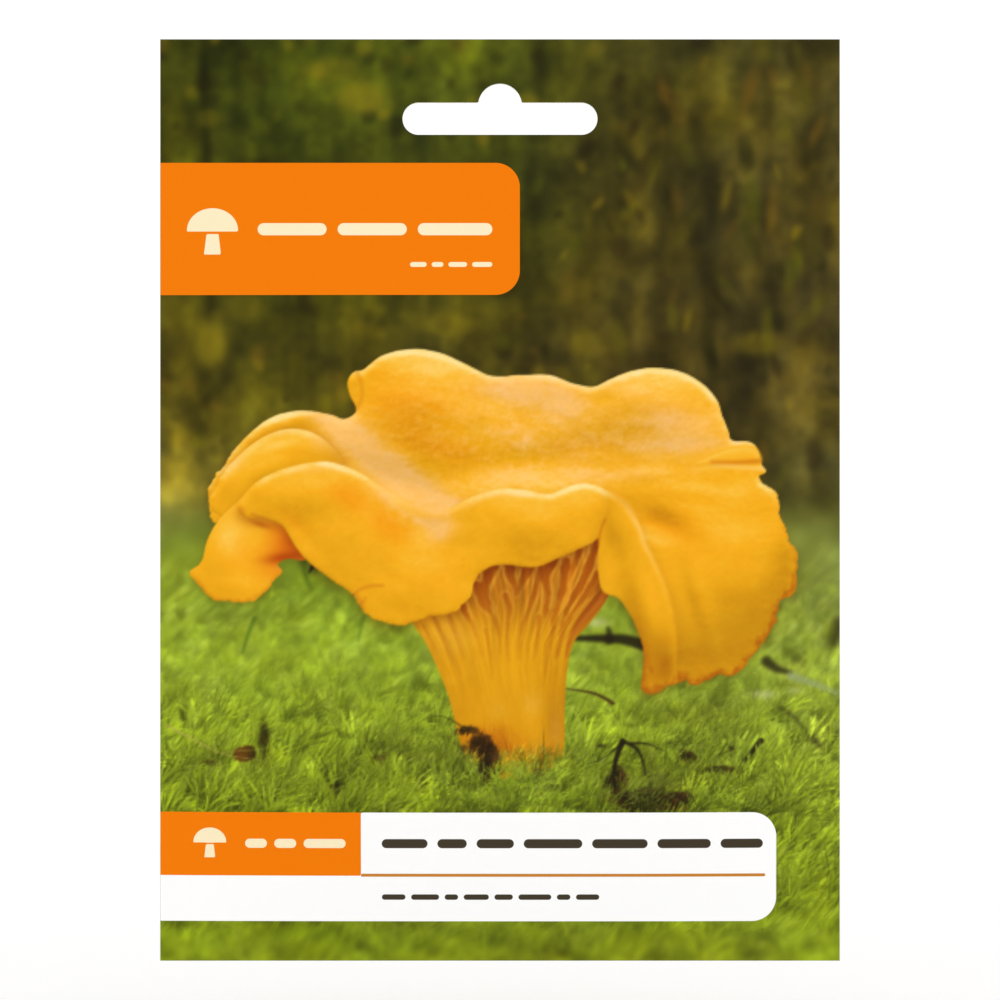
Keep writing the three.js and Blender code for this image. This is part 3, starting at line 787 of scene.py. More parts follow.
def paint_fold(rng, view):
    """The fold of the cap's edge at its far left."""
    d = outline(FOLD)
    d = d + 0.4 * haze(rng, 1.6, 1.6, 2, 0.6) * ramp(13, 9, MX)
    fade = ramp(31, 25.5, MX) * ramp(76, 72, MY)
    relief = 0.3 * rounded(d, 1.8) + spots(
        (18, 70, 10, 3.4, -22, 2.6), (20, 67, 8, 1.5, -18, 0.4), (12, 74, 4, 4, -40, 1.0),
    )
    relief = relief + 0.22 * haze(rng, 7, 3.5, 2, 0.5)
    tone = 0.67 + 0.21 * np.clip(lit(relief, across=-0.2), -1.2, 0.9)
    # a ridge and a furrow run along the fold
    for points, amount in (
        (((10, 74), (14, 70.3), (19, 68), (24, 67.6), (28, 69)), -0.05),
        (((9.5, 76), (14, 72.2), (19, 69.9)), 0.02),
        (((11, 71.6), (15, 68), (20, 66.2), (25, 66.6)), 0.02),
    ):
        tone = tone + amount * streak(points, 0.9)
    edge_up = np.clip(np.gradient(d, 1 / DOTS, axis=0), 0, 1)
    tone = tone + 0.13 * edge_up * np.exp(-((d - 0.5) / 0.6) ** 2)
    tone = tone + 0.015 * haze(rng, 1.5, 0.9, 3, 0.7)
    colour = blotched(rng, flesh(tone))
    bloom = spots((26.5, 66.2, 3, 2.4, 20, 0.45), (12, 69.5, 3, 2, -40, 0.3), (20, 64.6, 5, 0.6, -5, 0.25))
    colour = mix(colour, PEACH, np.clip(bloom, 0, 0.7))
    view = shade_below(view, d, 0.6, 0.20, drop=-0.6)
    return mix(view, colour, cover(d) * np.maximum(fade, ramp(24, 20, MX)))


def paint_curl(rng, view):
    """The edge that curls under at the left and shows its deep orange inside."""
    d = outline(CURL)
    d = d + 0.4 * haze(rng, 1.6, 1.6, 3, 0.6) * ramp(84, 88, MY)
    relief = 0.30 * rounded(d, 2.2) + spots((10.5, 84.5, 5.0, 7, 10, 3.4), (13, 90, 5, 2, 0, 0.6))
    tone = 0.70 + 0.15 * np.clip(lit(relief, across=-0.5, down=0.8), -1.2, 1)
    tone = tone + spots((11, 82, 3, 5, 20, 0.08), (11, 90.5, 6, 1.6, 0, -0.04))
    tone = tone + 0.015 * haze(rng, 1.5, 1.2, 3, 0.7)
    colour = blotched(rng, flesh(tone))
    colour = mix(colour, colour * rgb(255, 228, 150), spots((14, 84.5, 4, 4, 0, 0.4)))
    inside = ramp(15.0, 21.5, MX + 0.22 * (MY - 83)) * ramp(91.5, 84, MY) * ramp(77.0, 79.5, MY)
    colour = mix(colour, rgb(226, 112, 14), inside * 0.85)
    deep = spots(
        (20.6, 85.0, 4.6, 1.3, -8, 1.0), (21.5, 82.6, 2.4, 2.6, 40, 0.35), (16.6, 79.6, 2.4, 0.7, 18, 0.5),
    )
    colour = mix(colour, rgb(184, 74, 6), np.clip(deep, 0, 1))
    rim = np.exp(-((d - 0.15) / 0.35) ** 2) * ramp(86, 90, MY)
    colour = mix(colour, rgb(206, 122, 14), rim * 0.5)
    view = shade_below(view, d, 0.6, 0.2)
    return mix(view, colour, cover(d))


def paint_rim(rng, view):
    """The near rim, which hangs over the stem."""
    d = outline(RIM)
    d = d + (0.08 + 0.26 * ramp(86, 93, MY)) * haze(rng, 1.2, 1.2, 4, 0.8)
    swell = haze(rng, 9, 7, 2, 0.5)
    mottle = haze(rng, 1.4, 1.1, 3, 0.7)
    relief = spots(
        (23.5, 74.5, 10, 5, -8, 3.0), (32, 81, 9, 10, 30, 3.6), (41.5, 89, 9, 7, 0, 3.0),
        (61, 79.5, 12, 6.5, -3, 4.4), (48.5, 84, 4, 7, 15, -0.6), (23.5, 81, 6, 2.6, 45, -0.8),
        (43.5, 80, 3.5, 4, 20, -1.6), (69.5, 76.5, 5, 4, -10, 1.2), (37, 88, 6, 2, 30, -0.4),
        (56, 77, 3, 3, 0, 0.3), (64, 77.5, 3.4, 3, 0, -0.4),
    )
    up = np.gradient(d, 1 / DOTS, axis=0)
    relief = relief + 0.22 * rounded(d, 1.8) + 0.6 * swell + 0.03 * mottle
    relief = relief + 0.16 * haze(rng, 3.2, 3.2, 2, 0.6)
    tone = 0.665 + 0.17 * np.clip(lit(relief, across=-0.35), -1.5, 1.1)
    saddle = spot(42.5, 76.4, 8, 3.2, 14)
    brim = 0.21 + 0.14 * haze(rng, 4, 4, 3, 0.6)
    tone = tone + brim * np.clip(up, 0, 1) * np.exp(-((d - 0.5) / 0.55) ** 2) * (1 - saddle)
    tone = tone - 0.10 * np.clip(-up, 0, 1) * np.exp(-(d / 0.5) ** 2)
    tone = tone + spots(
        (31, 77.5, 5, 3, 10, -0.03), (50, 82, 3.4, 6, 0, -0.03), (60, 84.6, 9, 1.6, 0, -0.03),
        (40, 93.2, 7, 1.6, 0, -0.04), (71.5, 79, 2, 3, 0, -0.05), (61, 85.3, 3, 0.8, 0, -0.06),
    )
    soft = haze(rng, 4, 3, 3, 0.6)
    felt = haze(rng, 0.5, 0.4, 3, 0.9)
    tone = tone + 0.03 * mottle + 0.035 * soft + 0.025 * felt
    colour = flesh(tone)
    orange = spots(
        (31, 74.8, 5, 3.0, 20, 0.75), (37.5, 79.5, 6, 3.4, 35, 0.65), (22, 79, 4, 2, 40, 0.3),
        (46, 88, 4, 5, 0, 0.15),
    )
    colour = mix(colour, colour * rgb(255, 222, 150), np.clip(orange, 0, 1))
    peach = spots(
        (43.4, 77.8, 6.4, 3.2, 27, 1.15), (45.6, 81.2, 2.2, 3.0, 60, 0.6), (37.5, 75.2, 5, 1.6, 30, 0.8),
        (26, 70.6, 7, 0.8, -4, 0.3), (57, 74.7, 8, 0.8, 0, 0.35), (51, 76.2, 4, 0.9, -20, 0.35),
    )
    peach = peach + 0.45 * mottle * spot(42, 78.5, 9, 5)
    colour = blotched(rng, peach_bloom(colour, tone, peach))
    # small wrinkles at the bottom of the left lobe, and the tucked corner at its left end
    for points, width, dark in (
        (((31.8, 91.2), (32.9, 90.2), (35, 89.6), (36.6, 89.6)), 0.28, 0.45),
        (((33, 92.6), (33.8, 91.6)), 0.3, 0.3),
        (((32.4, 91.4), (33.2, 92.8), (32.9, 93.8)), 0.45, 0.4),
        (((13.2, 77.0), (13.6, 78.0)), 0.45, 0.5),
        (((15.2, 78.0), (16.4, 78.5), (18.0, 79.0)), 0.40, 0.45),
    ):
        colour = mix(colour, rgb(196, 110, 22), streak(points, width) * dark)
    alpha = cover(d) * (1 - ramp(0.25, 0.75, saddle) * ramp(3.2, 0.4, d))
    view = shade_below(view, d - 3 * ramp(0.15, 0.6, saddle), 0.8, 0.38, drop=1.0)
    return mix(view, colour, alpha)


def paint_flap(rng, view):
    """The part of the right lobe that hangs down beside the stem."""
    d = outline(FLAP)
    d = d + 0.3 * haze(rng, 1.6, 1.6, 3, 0.6) * ramp(88, 94, MY)
    relief = spots((75.8, 81, 3.2, 6, -18, 2.6), (79.3, 93, 3.2, 9, -12, 2.6), (83, 100, 2.2, 7, -4, 1.0))
    relief = relief + 0.2 * rounded(d, 1.6)
    relief = relief + 0.5 * haze(rng, 4, 6, 2, 0.5)
    tone = 0.60 + 0.13 * np.clip(lit(relief, across=-0.9, down=0.5), -1.2, 1) - 0.11 * ramp(90, 100, MY)
    tone = tone + spots(
        (77.0, 81, 2.0, 4.5, -20, -0.10), (80.5, 98, 3.5, 6, 0, -0.07), (83.6, 102, 2.4, 5.5, 0, -0.19),
        (74, 86, 2.5, 4, 0, 0.03), (80.5, 104, 3, 4, 0, -0.08), (77, 93, 3, 6, -15, -0.06),
    )
    ridge = line_to(
        ((73.4, 74.4), (76.2, 76.3), (78.2, 79.3), (79.5, 82.6), (81, 85.7), (82.6, 89.4), (83.9, 94))
    )
    tone = tone + 0.15 * np.exp(-(ridge / 0.7) ** 2) * ramp(100, 84, MY)
    tone = tone + 0.025 * haze(rng, 1.2, 1.6, 3, 0.7)
    colour = blotched(rng, flesh(tone))
    colour = mix(colour, PEACH, np.exp(-(ridge / 0.6) ** 2) * 0.35 * ramp(92, 80, MY))
    tip = ramp(83.5, 80.5, MX - 0.6 * (MY - 104))
    worn = ramp(1.6, 0.0, d + 1.1 * haze(rng, 1.2, 1.2, 3, 0.6)) * ramp(97, 104, MY) * tip
    colour = mix(colour, rgb(178, 92, 12), worn * 0.85)
    # it turns behind the ridge, so it shades the lobe to its right
    view = shade_below(view, d, 0.9, 0.20, drop=0.2)
    soft = np.where(MX > 79, 7.0, 2.0 + 16 * ramp(80, 76.5, MY))
    view = mix(view, colour, cover(d, soft))
    return mix(view, rgb(192, 104, 10), streak(((72.9, 78.8), (72.2, 80.6), (71.8, 83)), 0.25) * 0.6)


def lay_sticks(view, sticks):
    """Draws lines that thin towards their last points."""
    for colour, wide, softness, share, *points in sticks:
        (x0, y0), (x1, y1) = points[0], points[-1]
        along = ((MX - x0) * (x1 - x0) + (MY - y0) * (y1 - y0)) / ((x1 - x0) ** 2 + (y1 - y0) ** 2)
        half = 0.5 * wide * (1 - 0.6 * np.clip(along, 0, 1))
        view = mix(view, colour, ramp(softness, -softness, line_to(points) - half) * share)
    return view


DARK_WOOD = rgb(36, 30, 14)
BLADE = rgb(72, 104, 22)
# Sticks and blades: colour, width, softness, share, then points from the thick end to the thin one
FAR_STICKS = (
    (DARK_WOOD, 2.0, 0.45, 0.9, (79.6, 99.4), (76.0, 98.4), (72.5, 98.2), (68.0, 98.2)),
    (DARK_WOOD, 1.6, 0.45, 0.8, (73.6, 98.4), (73.6, 97.2), (73.4, 96.6)),
    (DARK_WOOD, 1.8, 0.60, 0.8, (99.4, 102.0), (101.0, 103.2), (103.2, 103.8)),
    (DARK_WOOD, 2.4, 0.90, 0.6, (111.4, 96.0), (110.6, 99.0)),
    (DARK_WOOD, 1.2, 0.50, 0.6, (107.2, 115.0), (108.4, 116.2)),
    (DARK_WOOD, 0.8, 0.50, 0.5, (101.6, 109.6), (104.2, 111.4), (106.4, 114.4)),
    (DARK_WOOD, 0.95, 0.16, 0.9, (98.5, 115.0), (96.6, 117.2), (94.4, 119.6)),
    (DARK_WOOD, 1.8, 0.40, 0.7, (86.0, 117.0), (87.6, 118.2), (92.0, 120.0)),
    (rgb(74, 56, 20), 0.65, 0.15, 0.95, (74.2, 108.8), (71.2, 107.2), (66.6, 106.4)),
    (rgb(150, 164, 120), 1.3, 0.6, 0.7, (103.4, 104.4), (107.0, 105.6), (111.4, 107.4)),
    (DARK_WOOD, 0.9, 0.25, 0.9, (25.4, 86.0), (24.6, 87.4)),
    (rgb(74, 96, 20), 1.3, 0.6, 0.7, (23.6, 85.4), (24.0, 88.0), (24.8, 90.0)),
    (BLADE, 0.8, 0.35, 0.6, (15.6, 95.0), (14.6, 97.4), (13.6, 100.6)),
    (BLADE, 0.8, 0.35, 0.45, (33.4, 94.6), (32.9, 97.0), (32.6, 98.6)),
)
NEAR_STICKS = (
    (DARK_WOOD, 1.00, 0.14, 0.95, (75.8, 115.0), (74.6, 118.4), (74.4, 122.4)),
    (DARK_WOOD, 0.70, 0.14, 0.90, (75.8, 115.0), (78.4, 116.6), (79.6, 120.6)),
    (DARK_WOOD, 0.42, 0.12, 0.80, (75.6, 115.4), (73.4, 117.2), (71.0, 118.6)),
    (DARK_WOOD, 0.50, 0.14, 0.80, (77.0, 115.4), (79.6, 115.4), (82.6, 116.6)),
    (rgb(70, 66, 14), 0.34, 0.10, 0.9, (50.0, 113.0), (48.0, 111.6), (45.6, 110.8), (43.2, 111.4)),
    (rgb(96, 70, 20), 0.30, 0.10, 0.8, (62.6, 124.0), (62.9, 116.0), (62.7, 111.4)),
    (rgb(176, 166, 84), 0.34, 0.10, 0.8, (1.2, 112.6), (5.0, 114.6), (10.5, 117.2), (17.0, 118.2)),
    (rgb(150, 140, 60), 0.26, 0.10, 0.6, (17.0, 116.4), (10.0, 117.0), (3.0, 118.6)),
)


def paint_behind(view):
    """What lies on the moss behind the mushroom."""
    view = lay_sticks(view, FAR_STICKS)
    pale = spots(
        (71.5, 95.6, 2.6, 1.2, 0, 0.6), (99.0, 107.4, 3.0, 1.0, 0, 0.6), (104.0, 106.8, 2.0, 0.8, 0, 0.4),
    )
    return mix(view, rgb(202, 204, 142), np.clip(pale, 0, 1))


# Crumbs of soil and rotten wood: right, down, half width, half height, how strong
SOIL = (
    (50.2, 113.2, 2.2, 0.9, 0.90), (52.4, 115.4, 2.4, 1.8, 0.90), (54.0, 117.2, 1.6, 2.8, 0.90),
    (53.2, 119.8, 1.3, 2.2, 0.85), (74.6, 121.4, 1.8, 2.8, 0.90), (79.0, 124.6, 6.8, 2.4, 0.90),
    (84.8, 124.6, 3.4, 1.6, 0.85), (86.4, 117.4, 1.5, 0.8, 0.75), (91.6, 119.6, 3.4, 0.7, 0.70),
    (62.0, 120.2, 1.2, 1.0, 0.60), (17.2, 114.6, 0.9, 3.0, 0.50), (29.0, 122.6, 0.7, 1.5, 0.45),
    (36.0, 117.6, 1.4, 0.6, 0.45), (8.0, 118.6, 1.2, 0.5, 0.45), (72.2, 115.8, 1.0, 0.5, 0.60),
    (93.6, 116.2, 0.6, 0.5, 0.60),
)


def paint_foot(rng, view):
    """The fuzz and the soil stain round the stem's foot."""
    fuzz = combed(rng, 0.5 * haze(rng, 3, 3, 2, 0.6) - 0.3, 9, 1)
    foot = spots(
        (54.5, 114.6, 5.0, 2.6, 0, 1.0), (60, 117.4, 7, 1.6, 0, 0.9), (64.5, 117.5, 3, 1.4, 0, 0.8),
    )
    brown = mix(rgb(178, 96, 16), rgb(98, 56, 14), ramp(114, 118, MY)[..., None])
    return mix(view, brown, np.clip(foot * (0.45 + 0.5 * fuzz), 0, 0.85))


def paint_litter(rng, view):
    """Soil, twigs and a dead leaf that lie on the nearest moss."""
    crumbs = haze(rng, 1.4, 1.0, 4, 0.85)
    shoots = combed(rng, 0.5 * haze(rng, 3, 3, 2, 0.6) + 0.2, 11, 1)
    for x, y, wide, high, share in SOIL:
        inside = 0.85 - np.hypot((MX - x) / wide, (MY - y) / high)
        inside = inside + 0.6 * crumbs + 0.35 * shoots * ramp(y - high, y + high, MY)
        soil = mix(rgb(30, 21, 9), rgb(106, 62, 26), ramp(-0.2, 1.0, crumbs)[..., None])
        view = mix(view, soil, ramp(-0.20, 0.30, inside) * share)
    leaf = outline(((12.2, 116.6), (13.8, 115.8), (15.4, 115.9), (15.8, 117.4), (14.4, 118.4),
                    (12.4, 118.2)))
    dead = mix(rgb(92, 44, 10), rgb(44, 22, 8), ramp(13.6, 15.6, MX)[..., None])
    view = mix(view, dead, cover(leaf + 0.3 * crumbs, 3) * 0.8)
    return lay_sticks(view, NEAR_STICKS)


def paint_mushroom(rng, picture, lean):
    """The mushroom and the moss and litter nearest to it, laid over the forest and the moss."""
    view = paint_behind(picture[MR, MC])
    # the mushroom's own shade on the moss under it
    shade = spots((50, 119.5, 16, 4.0, 0, 0.35), (88, 110, 12, 3, 0, 0.12), (13, 94.5, 8, 2, 0, 0.12))
    view = view * (1 - shade[..., None] * np.array([0.75, 0.9, 0.9], np.float32))
    for paint in (paint_stem, paint_cap, paint_fold, paint_curl, paint_rim, paint_flap, paint_foot):
        view = paint(rng, view)
    out = picture.copy()
    out[MR, MC] = view
    out = tufts(rng, out, lean, 119.0, 121.5, 30, 44, 70)
    out = strands(rng, out, lean, 119.0, 128.0, 210)
    out[MR, MC] = paint_litter(rng, out[MR, MC])
    return tufts(rng, out, lean, 121.5, 127.0, 26, 46, 96)


# ---------------------------------------------------------------- places on the packet
# Depths of the flat plies about the middle of the packet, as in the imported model
PAPER = 0.25
PLY = 0.30  # the front and back panels' outer faces
FLAP_PLY = 0.75  # the flaps' outer faces
BELLY = 3.4
HEADER = 24.0  # the flat top, above the pocket
TOP_FLAP, BOTTOM_FLAP, SIDE_FLAP = 24.0, 15.0, 11.0
FLAP_TAPER = 4.0
FLAP_INSET = 0.3
FLAP_GAP = 0.6
# The euro slot: a bar with round ends, and a round crown over its middle
SLOT_WIDTH, SLOT_HEIGHT = 32.0, 5.3
SLOT_TOP, SLOT_WHOLE = 7.3, 8.4  # the crown's top, and from there to the bar's underside
CROWN_RADIUS = 3.6
CROWN_MIDDLE = SLOT_TOP + CROWN_RADIUS
SLOT_MIDDLE = SLOT_TOP + SLOT_WHOLE - SLOT_HEIGHT / 2


def belly(u, v):
    """How far the filled pocket stands out, u right of the left edge and v down from the top edge."""
    across = 1 - np.clip(np.abs(u / PACKET_WIDTH * 2 - 1), 0, 1) ** 2.5
    up = np.clip((PACKET_HEIGHT - v) / (PACKET_HEIGHT - HEADER), 0, 1)
    return BELLY * across * np.sin(pi * up**0.75) ** 1.1


def world(u, v, depth):
    """Points in metres. Depth is behind the packet's middle plane."""
    u, v, depth = np.broadcast_arrays(u, v, depth)
    return np.stack([LEFT_EDGE + u, depth, TOP_EDGE - v], -1) * MM


def slot_depth(u, v):
    """Millimetres inside the euro slot, negative outside it."""
    x = u - PACKET_WIDTH / 2
    reach = SLOT_WIDTH / 2 - SLOT_HEIGHT / 2
    end = np.maximum(np.abs(x) - reach, 0)
    bar = SLOT_HEIGHT / 2 - np.hypot(end, v - SLOT_MIDDLE)
    crown = CROWN_RADIUS - np.hypot(x, v - CROWN_MIDDLE)
    return np.maximum(bar, crown)


def fold(s, length, radius):
    """Where a flat sheet's coordinate goes when both its ends turn back, and how far back it then is."""
    low = np.clip((radius - s) / radius, 0, pi / 2)
    high = np.clip((s - length + radius) / radius, 0, pi / 2)
    along = np.clip(s, radius, length - radius) - radius * np.sin(low) + radius * np.sin(high)
    back = radius * (2 - np.cos(low) - np.cos(high))
    return along, back


def folded_lines(length, radius, cell):
    """Grid lines of a sheet that turns back at both ends."""
    turn = radius * pi / 2
    flat = np.linspace(radius, length - radius, int((length - 2 * radius) / cell) + 1)
    start = np.linspace(radius - turn, radius, 6)[:-1]
    end = np.linspace(length - radius, length - radius + turn, 6)[1:]
    return np.concatenate([start, flat, end])


def snap_to_slot(u, v, near):
    """Moves the grid's points that are near the slot's outline onto it."""
    step = 0.01
    for _ in range(4):
        depth = slot_depth(u, v)
        du = (slot_depth(u + step, v) - slot_depth(u - step, v)) / (2 * step)
        dv = (slot_depth(u, v + step) - slot_depth(u, v - step)) / (2 * step)
        u = np.where(near, u - depth * du, u)
        v = np.where(near, v - depth * dv, v)
    return u, v


def slot_cells(u, v):
    """Which cells of a grid the slot leaves, and which of its points lie on the slot's edge."""
    middle_u = (u[1:, 1:] + u[:-1, :-1]) / 2
    middle_v = (v[1:, 1:] + v[:-1, :-1]) / 2
    keep = slot_depth(middle_u, middle_v) < 0
    kept = np.zeros(u.shape, bool)
    cut = np.zeros(u.shape, bool)
    for rows, columns in ((slice(0, -1), slice(0, -1)), (slice(1, None), slice(0, -1)),
                          (slice(0, -1), slice(1, None)), (slice(1, None), slice(1, None))):
        kept[rows, columns] |= keep
        cut[rows, columns] |= ~keep
    return keep, kept & cut


# ---------------------------------------------------------------- meshes
def quads_between(index, keep):
    """The four corners of each kept cell of a grid of vertex numbers."""
    corners = np.stack([index[:-1, :-1], index[:-1, 1:], index[1:, 1:], index[1:, :-1]], -1)
    return corners[keep]


def border_edges(index, keep, around):
    """Pairs of vertex numbers along the kept cells' border, which takes in the grid's own rim if around."""
    padded = np.pad(keep, 1, constant_values=not around)
    here = padded[1:-1, 1:-1]
    edges = []
    for other, a, b in (
        (padded[:-2, 1:-1], index[:-1, :-1], index[:-1, 1:]),
        (padded[1:-1, 2:], index[:-1, 1:], index[1:, 1:]),
        (padded[2:, 1:-1], index[1:, 1:], index[1:, :-1]),
        (padded[1:-1, :-2], index[1:, :-1], index[:-1, :-1]),
    ):
        lone = here & ~other
        edges.append(np.stack([a[lone], b[lone]], -1))
    return np.concatenate(edges)


def shell(outer, inner, keep, closed=True):
    """A sheet as vertices and faces. Its walls have their own vertices, so that cut edges stay crisp.

    closed says whether it has an inner face, and walls round the grid's own rim. Returns the points,
    the faces, the kind of each face (0 outer, 1 inner, 2 wall) and the grid point of each vertex."""
    rows, columns = outer.shape[:2]
    count = rows * columns
    index = np.arange(count).reshape(rows, columns)
    outward = quads_between(index, keep)
    faces = [outward]
    kinds = [np.zeros(len(outward), int)]
    points = [outer.reshape(-1, 3), inner.reshape(-1, 3)]
    source = [np.arange(count), np.arange(count)]
    if closed:
        inward = quads_between(index + count, keep)[:, ::-1]
        faces.append(inward)
        kinds.append(np.ones(len(inward), int))
    edges = border_edges(index, keep, closed)
    if len(edges):
        points += points[:2]
        source += source[:2]
        a, b = edges.T
        wall = np.stack([b, a, a + count, b + count], -1) + 2 * count
        faces.append(wall)
        kinds.append(np.full(len(wall), 2))
    points, source = np.concatenate(points), np.concatenate(source)
    faces, kinds = np.concatenate(faces), np.concatenate(kinds)
    used, faces = np.unique(faces, return_inverse=True)
    faces = faces.reshape(-1, 4)
    points = points[used]
    if not facing_out(points, faces[kinds == 0], outer, inner, keep):
        faces = faces[:, ::-1]
    return points, faces, kinds, source[used]


def facing_out(points, faces, outer, inner, keep):
    a, b, c = (points[faces[:, i]] for i in range(3))
    normal = np.cross(b - a, c - a)
    out = (outer - inner)[:-1, :-1][keep]
    return (normal * out).sum() > 0


def mesh_object(name, points, faces, kinds, materials):
    mesh = bpy.data.meshes.new(name)
    mesh.vertices.add(len(points))
    mesh.vertices.foreach_set("co", points.astype(np.float32).ravel())
    mesh.loops.add(faces.size)
    mesh.loops.foreach_set("vertex_index", faces.astype(np.int32).ravel())
    mesh.polygons.add(len(faces))
    mesh.polygons.foreach_set("loop_start", np.arange(0, faces.size, 4, dtype=np.int32))
    mesh.polygons.foreach_set("loop_total", np.full(len(faces), 4, np.int32))
    for material in materials:
        mesh.materials.append(material)
    mesh.polygons.foreach_set("material_index", np.minimum(kinds, len(materials) - 1).astype(np.int32))
    mesh.polygons.foreach_set("use_smooth", np.ones(len(faces), bool))
    mesh.update(calc_edges=True)
    mesh.validate()
    obj = bpy.data.objects.new(name, mesh)
    bpy.context.scene.collection.objects.link(obj)
    return obj


def to_linear(c):
    """sRGB, from 0 to 1, as the linear values that shaders use."""
    return np.where(c <= 0.04045, c / 12.92, ((c + 0.055) / 1.055) ** 2.4)


def colour_points(obj, colours):
    """Stores sRGB colours on the vertices."""
    linear = to_linear(np.clip(colours, 0, 1))
    layer = obj.data.color_attributes.new("picture", "FLOAT_COLOR", "POINT")
    full = np.concatenate([linear, np.ones((len(linear), 1))], 1)
    layer.data.foreach_set("color", full.astype(np.float32).ravel())


def ink_points(obj, shapes, u, v):
    """Stores how many millimetres inside each ink's shapes every vertex lies."""
    for attribute, parts in shapes.items():
        layer = obj.data.attributes.new(attribute, "FLOAT", "POINT")
        depth = np.max([part(u, v) for part in parts], 0)
        layer.data.foreach_set("value", depth.astype(np.float32).ravel())


def look_up(image, u, v):
    """The picture's colours at places in it, between its dots."""
    x = np.clip((u - LEFT) * DOTS - 0.5, 0, COLUMNS - 1.001)
    y = np.clip((v - TOP) * DOTS - 0.5, 0, ROWS - 1.001)
    j, i = x.astype(int), y.astype(int)
    a, b = (x - j)[..., None], (y - i)[..., None]
    top = image[i, j] * (1 - a) + image[i, j + 1] * a
    bottom = image[i + 1, j] * (1 - a) + image[i + 1, j + 1] * a
    return top * (1 - b) + bottom * b


# ---------------------------------------------------------------- label panels
# Each of these gives a shape's function, which says how many millimetres inside it a place is.
def box(left, top, right, bottom, top_right=0.0, bottom_right=0.0):
    """A box whose right corners may be round."""
    def depth(u, v):
        x, y = (left + right) / 2, (top + bottom) / 2
        radius = np.where(u > x, np.where(v < y, top_right, bottom_right), 0.0)
        across = np.abs(u - x) - (right - left) / 2 + radius
        down = np.abs(v - y) - (bottom - top) / 2 + radius
        outside = np.hypot(np.maximum(across, 0), np.maximum(down, 0))
        return radius - outside - np.minimum(np.maximum(across, down), 0)

    return depth


def outlined_box(left, top, right, bottom, line):
    depth = box(left, top, right, bottom)
    return lambda u, v: np.minimum(depth(u, v), line - depth(u, v))


def bar(left, right, middle, thick):
    """A bar with round ends."""
    r = thick / 2
    return lambda u, v: r - np.hypot(np.maximum(np.maximum(left + r - u, u - right + r), 0), v - middle)


def dot(x, y, radius):
    return lambda u, v: radius - np.hypot(u - x, v - y)


def sign(x, y, size):
    """A plain sign of a mushroom: a cap that is half a disc, and a stem that widens downwards."""
    def depth(u, v):
        across, down = (u - x) / size, (v - y) / size
        cap = np.minimum(0.5 - np.hypot(across, down * 1.15), -down + 0.02)
        stem = 0.11 + 0.12 * np.clip(down, 0, 1) - np.abs(across)
        stem = np.minimum(stem, np.minimum(down - 0.07, 0.47 - down))
        return np.maximum(cap, stem) * size

    return depth


def words(rng, left, right, middle, thick, gap):
    """Bars that stand for words, from left to right."""
    bars, at = [], left
    while at < right - 3 * thick:
        end = min(at + thick * rng.uniform(2.2, 6.5), right)
        if right - end < 3 * thick + gap:
            end = right
        bars.append(bar(at, end, middle, thick))
        at = end + gap
    return bars


CORNER = 4.0
PANELS = {
    "orange_depth": (box(0, 20.3, 59.0, 42.0, CORNER, CORNER), box(0, 126.7, 33.0, 137.1)),
    "white_depth": (box(33.0, 126.7, 101.0, 137.1, CORNER), box(0, 137.1, 101.0, 144.6, 0, CORNER)),
    "line_depth": (box(33.0, 136.75, 99.2, 137.25),),
}


# ---------------------------------------------------------------- materials
def new_material(name):
    material = bpy.data.materials.new(name)
    material.use_nodes = True
    tree = material.node_tree
    tree.nodes.clear()
    output = tree.nodes.new("ShaderNodeOutputMaterial")
    shader = tree.nodes.new("ShaderNodeBsdfPrincipled")
    tree.links.new(shader.outputs["BSDF"], output.inputs["Surface"])
    return material, tree, shader


def linear_colour(red, green, blue):
    return (*to_linear(np.array([red, green, blue]) / 255), 1.0)


INK_EDGE = 0.03  # half the soft edge of an ink
ORANGE = linear_colour(244, 124, 1)
WHITE = linear_colour(255, 255, 255)
LINE_BROWN = linear_colour(200, 130, 50)
CREAM = linear_colour(252, 236, 196)
DARK_INK = linear_colour(66, 58, 44)


def picture_colour(tree):
    """The colour that the vertices hold."""
    node = tree.nodes.new("ShaderNodeAttribute")
    node.attribute_name = "picture"
    return node.outputs["Color"]


def grain(tree, shader, scale, strength, distance, stretch=(1, 1, 1)):
    """Bump from noise that is scale features to the metre."""
    place = tree.nodes.new("ShaderNodeTexCoord")
    turn = tree.nodes.new("ShaderNodeMapping")
    noise = tree.nodes.new("ShaderNodeTexNoise")
    bump = tree.nodes.new("ShaderNodeBump")
    turn.inputs["Scale"].default_value = stretch
    noise.inputs["Scale"].default_value = scale
    noise.inputs["Detail"].default_value = 3.0
    bump.inputs["Strength"].default_value = strength
    bump.inputs["Distance"].default_value = distance
    tree.links.new(place.outputs["Object"], turn.inputs["Vector"])
    tree.links.new(turn.outputs["Vector"], noise.inputs["Vector"])
    tree.links.new(noise.outputs["Fac"], bump.inputs["Height"])
    tree.links.new(bump.outputs["Normal"], shader.inputs["Normal"])
    return noise


def inked(tree, colour, attribute, ink):
    """Lays a flat ink over a colour wherever the vertices' attribute, in millimetres, is above zero."""
    depth = tree.nodes.new("ShaderNodeAttribute")
    edge = tree.nodes.new("ShaderNodeMapRange")
    lay = tree.nodes.new("ShaderNodeMix")
    depth.attribute_name = attribute
    edge.inputs["From Min"].default_value = -INK_EDGE
    edge.inputs["From Max"].default_value = INK_EDGE
    lay.data_type = "RGBA"
    lay.inputs["B"].default_value = ink
    tree.links.new(depth.outputs["Fac"], edge.inputs["Value"])
    tree.links.new(edge.outputs["Result"], lay.inputs["Factor"])
    tree.links.new(colour, lay.inputs["A"])
    return lay.outputs["Result"]


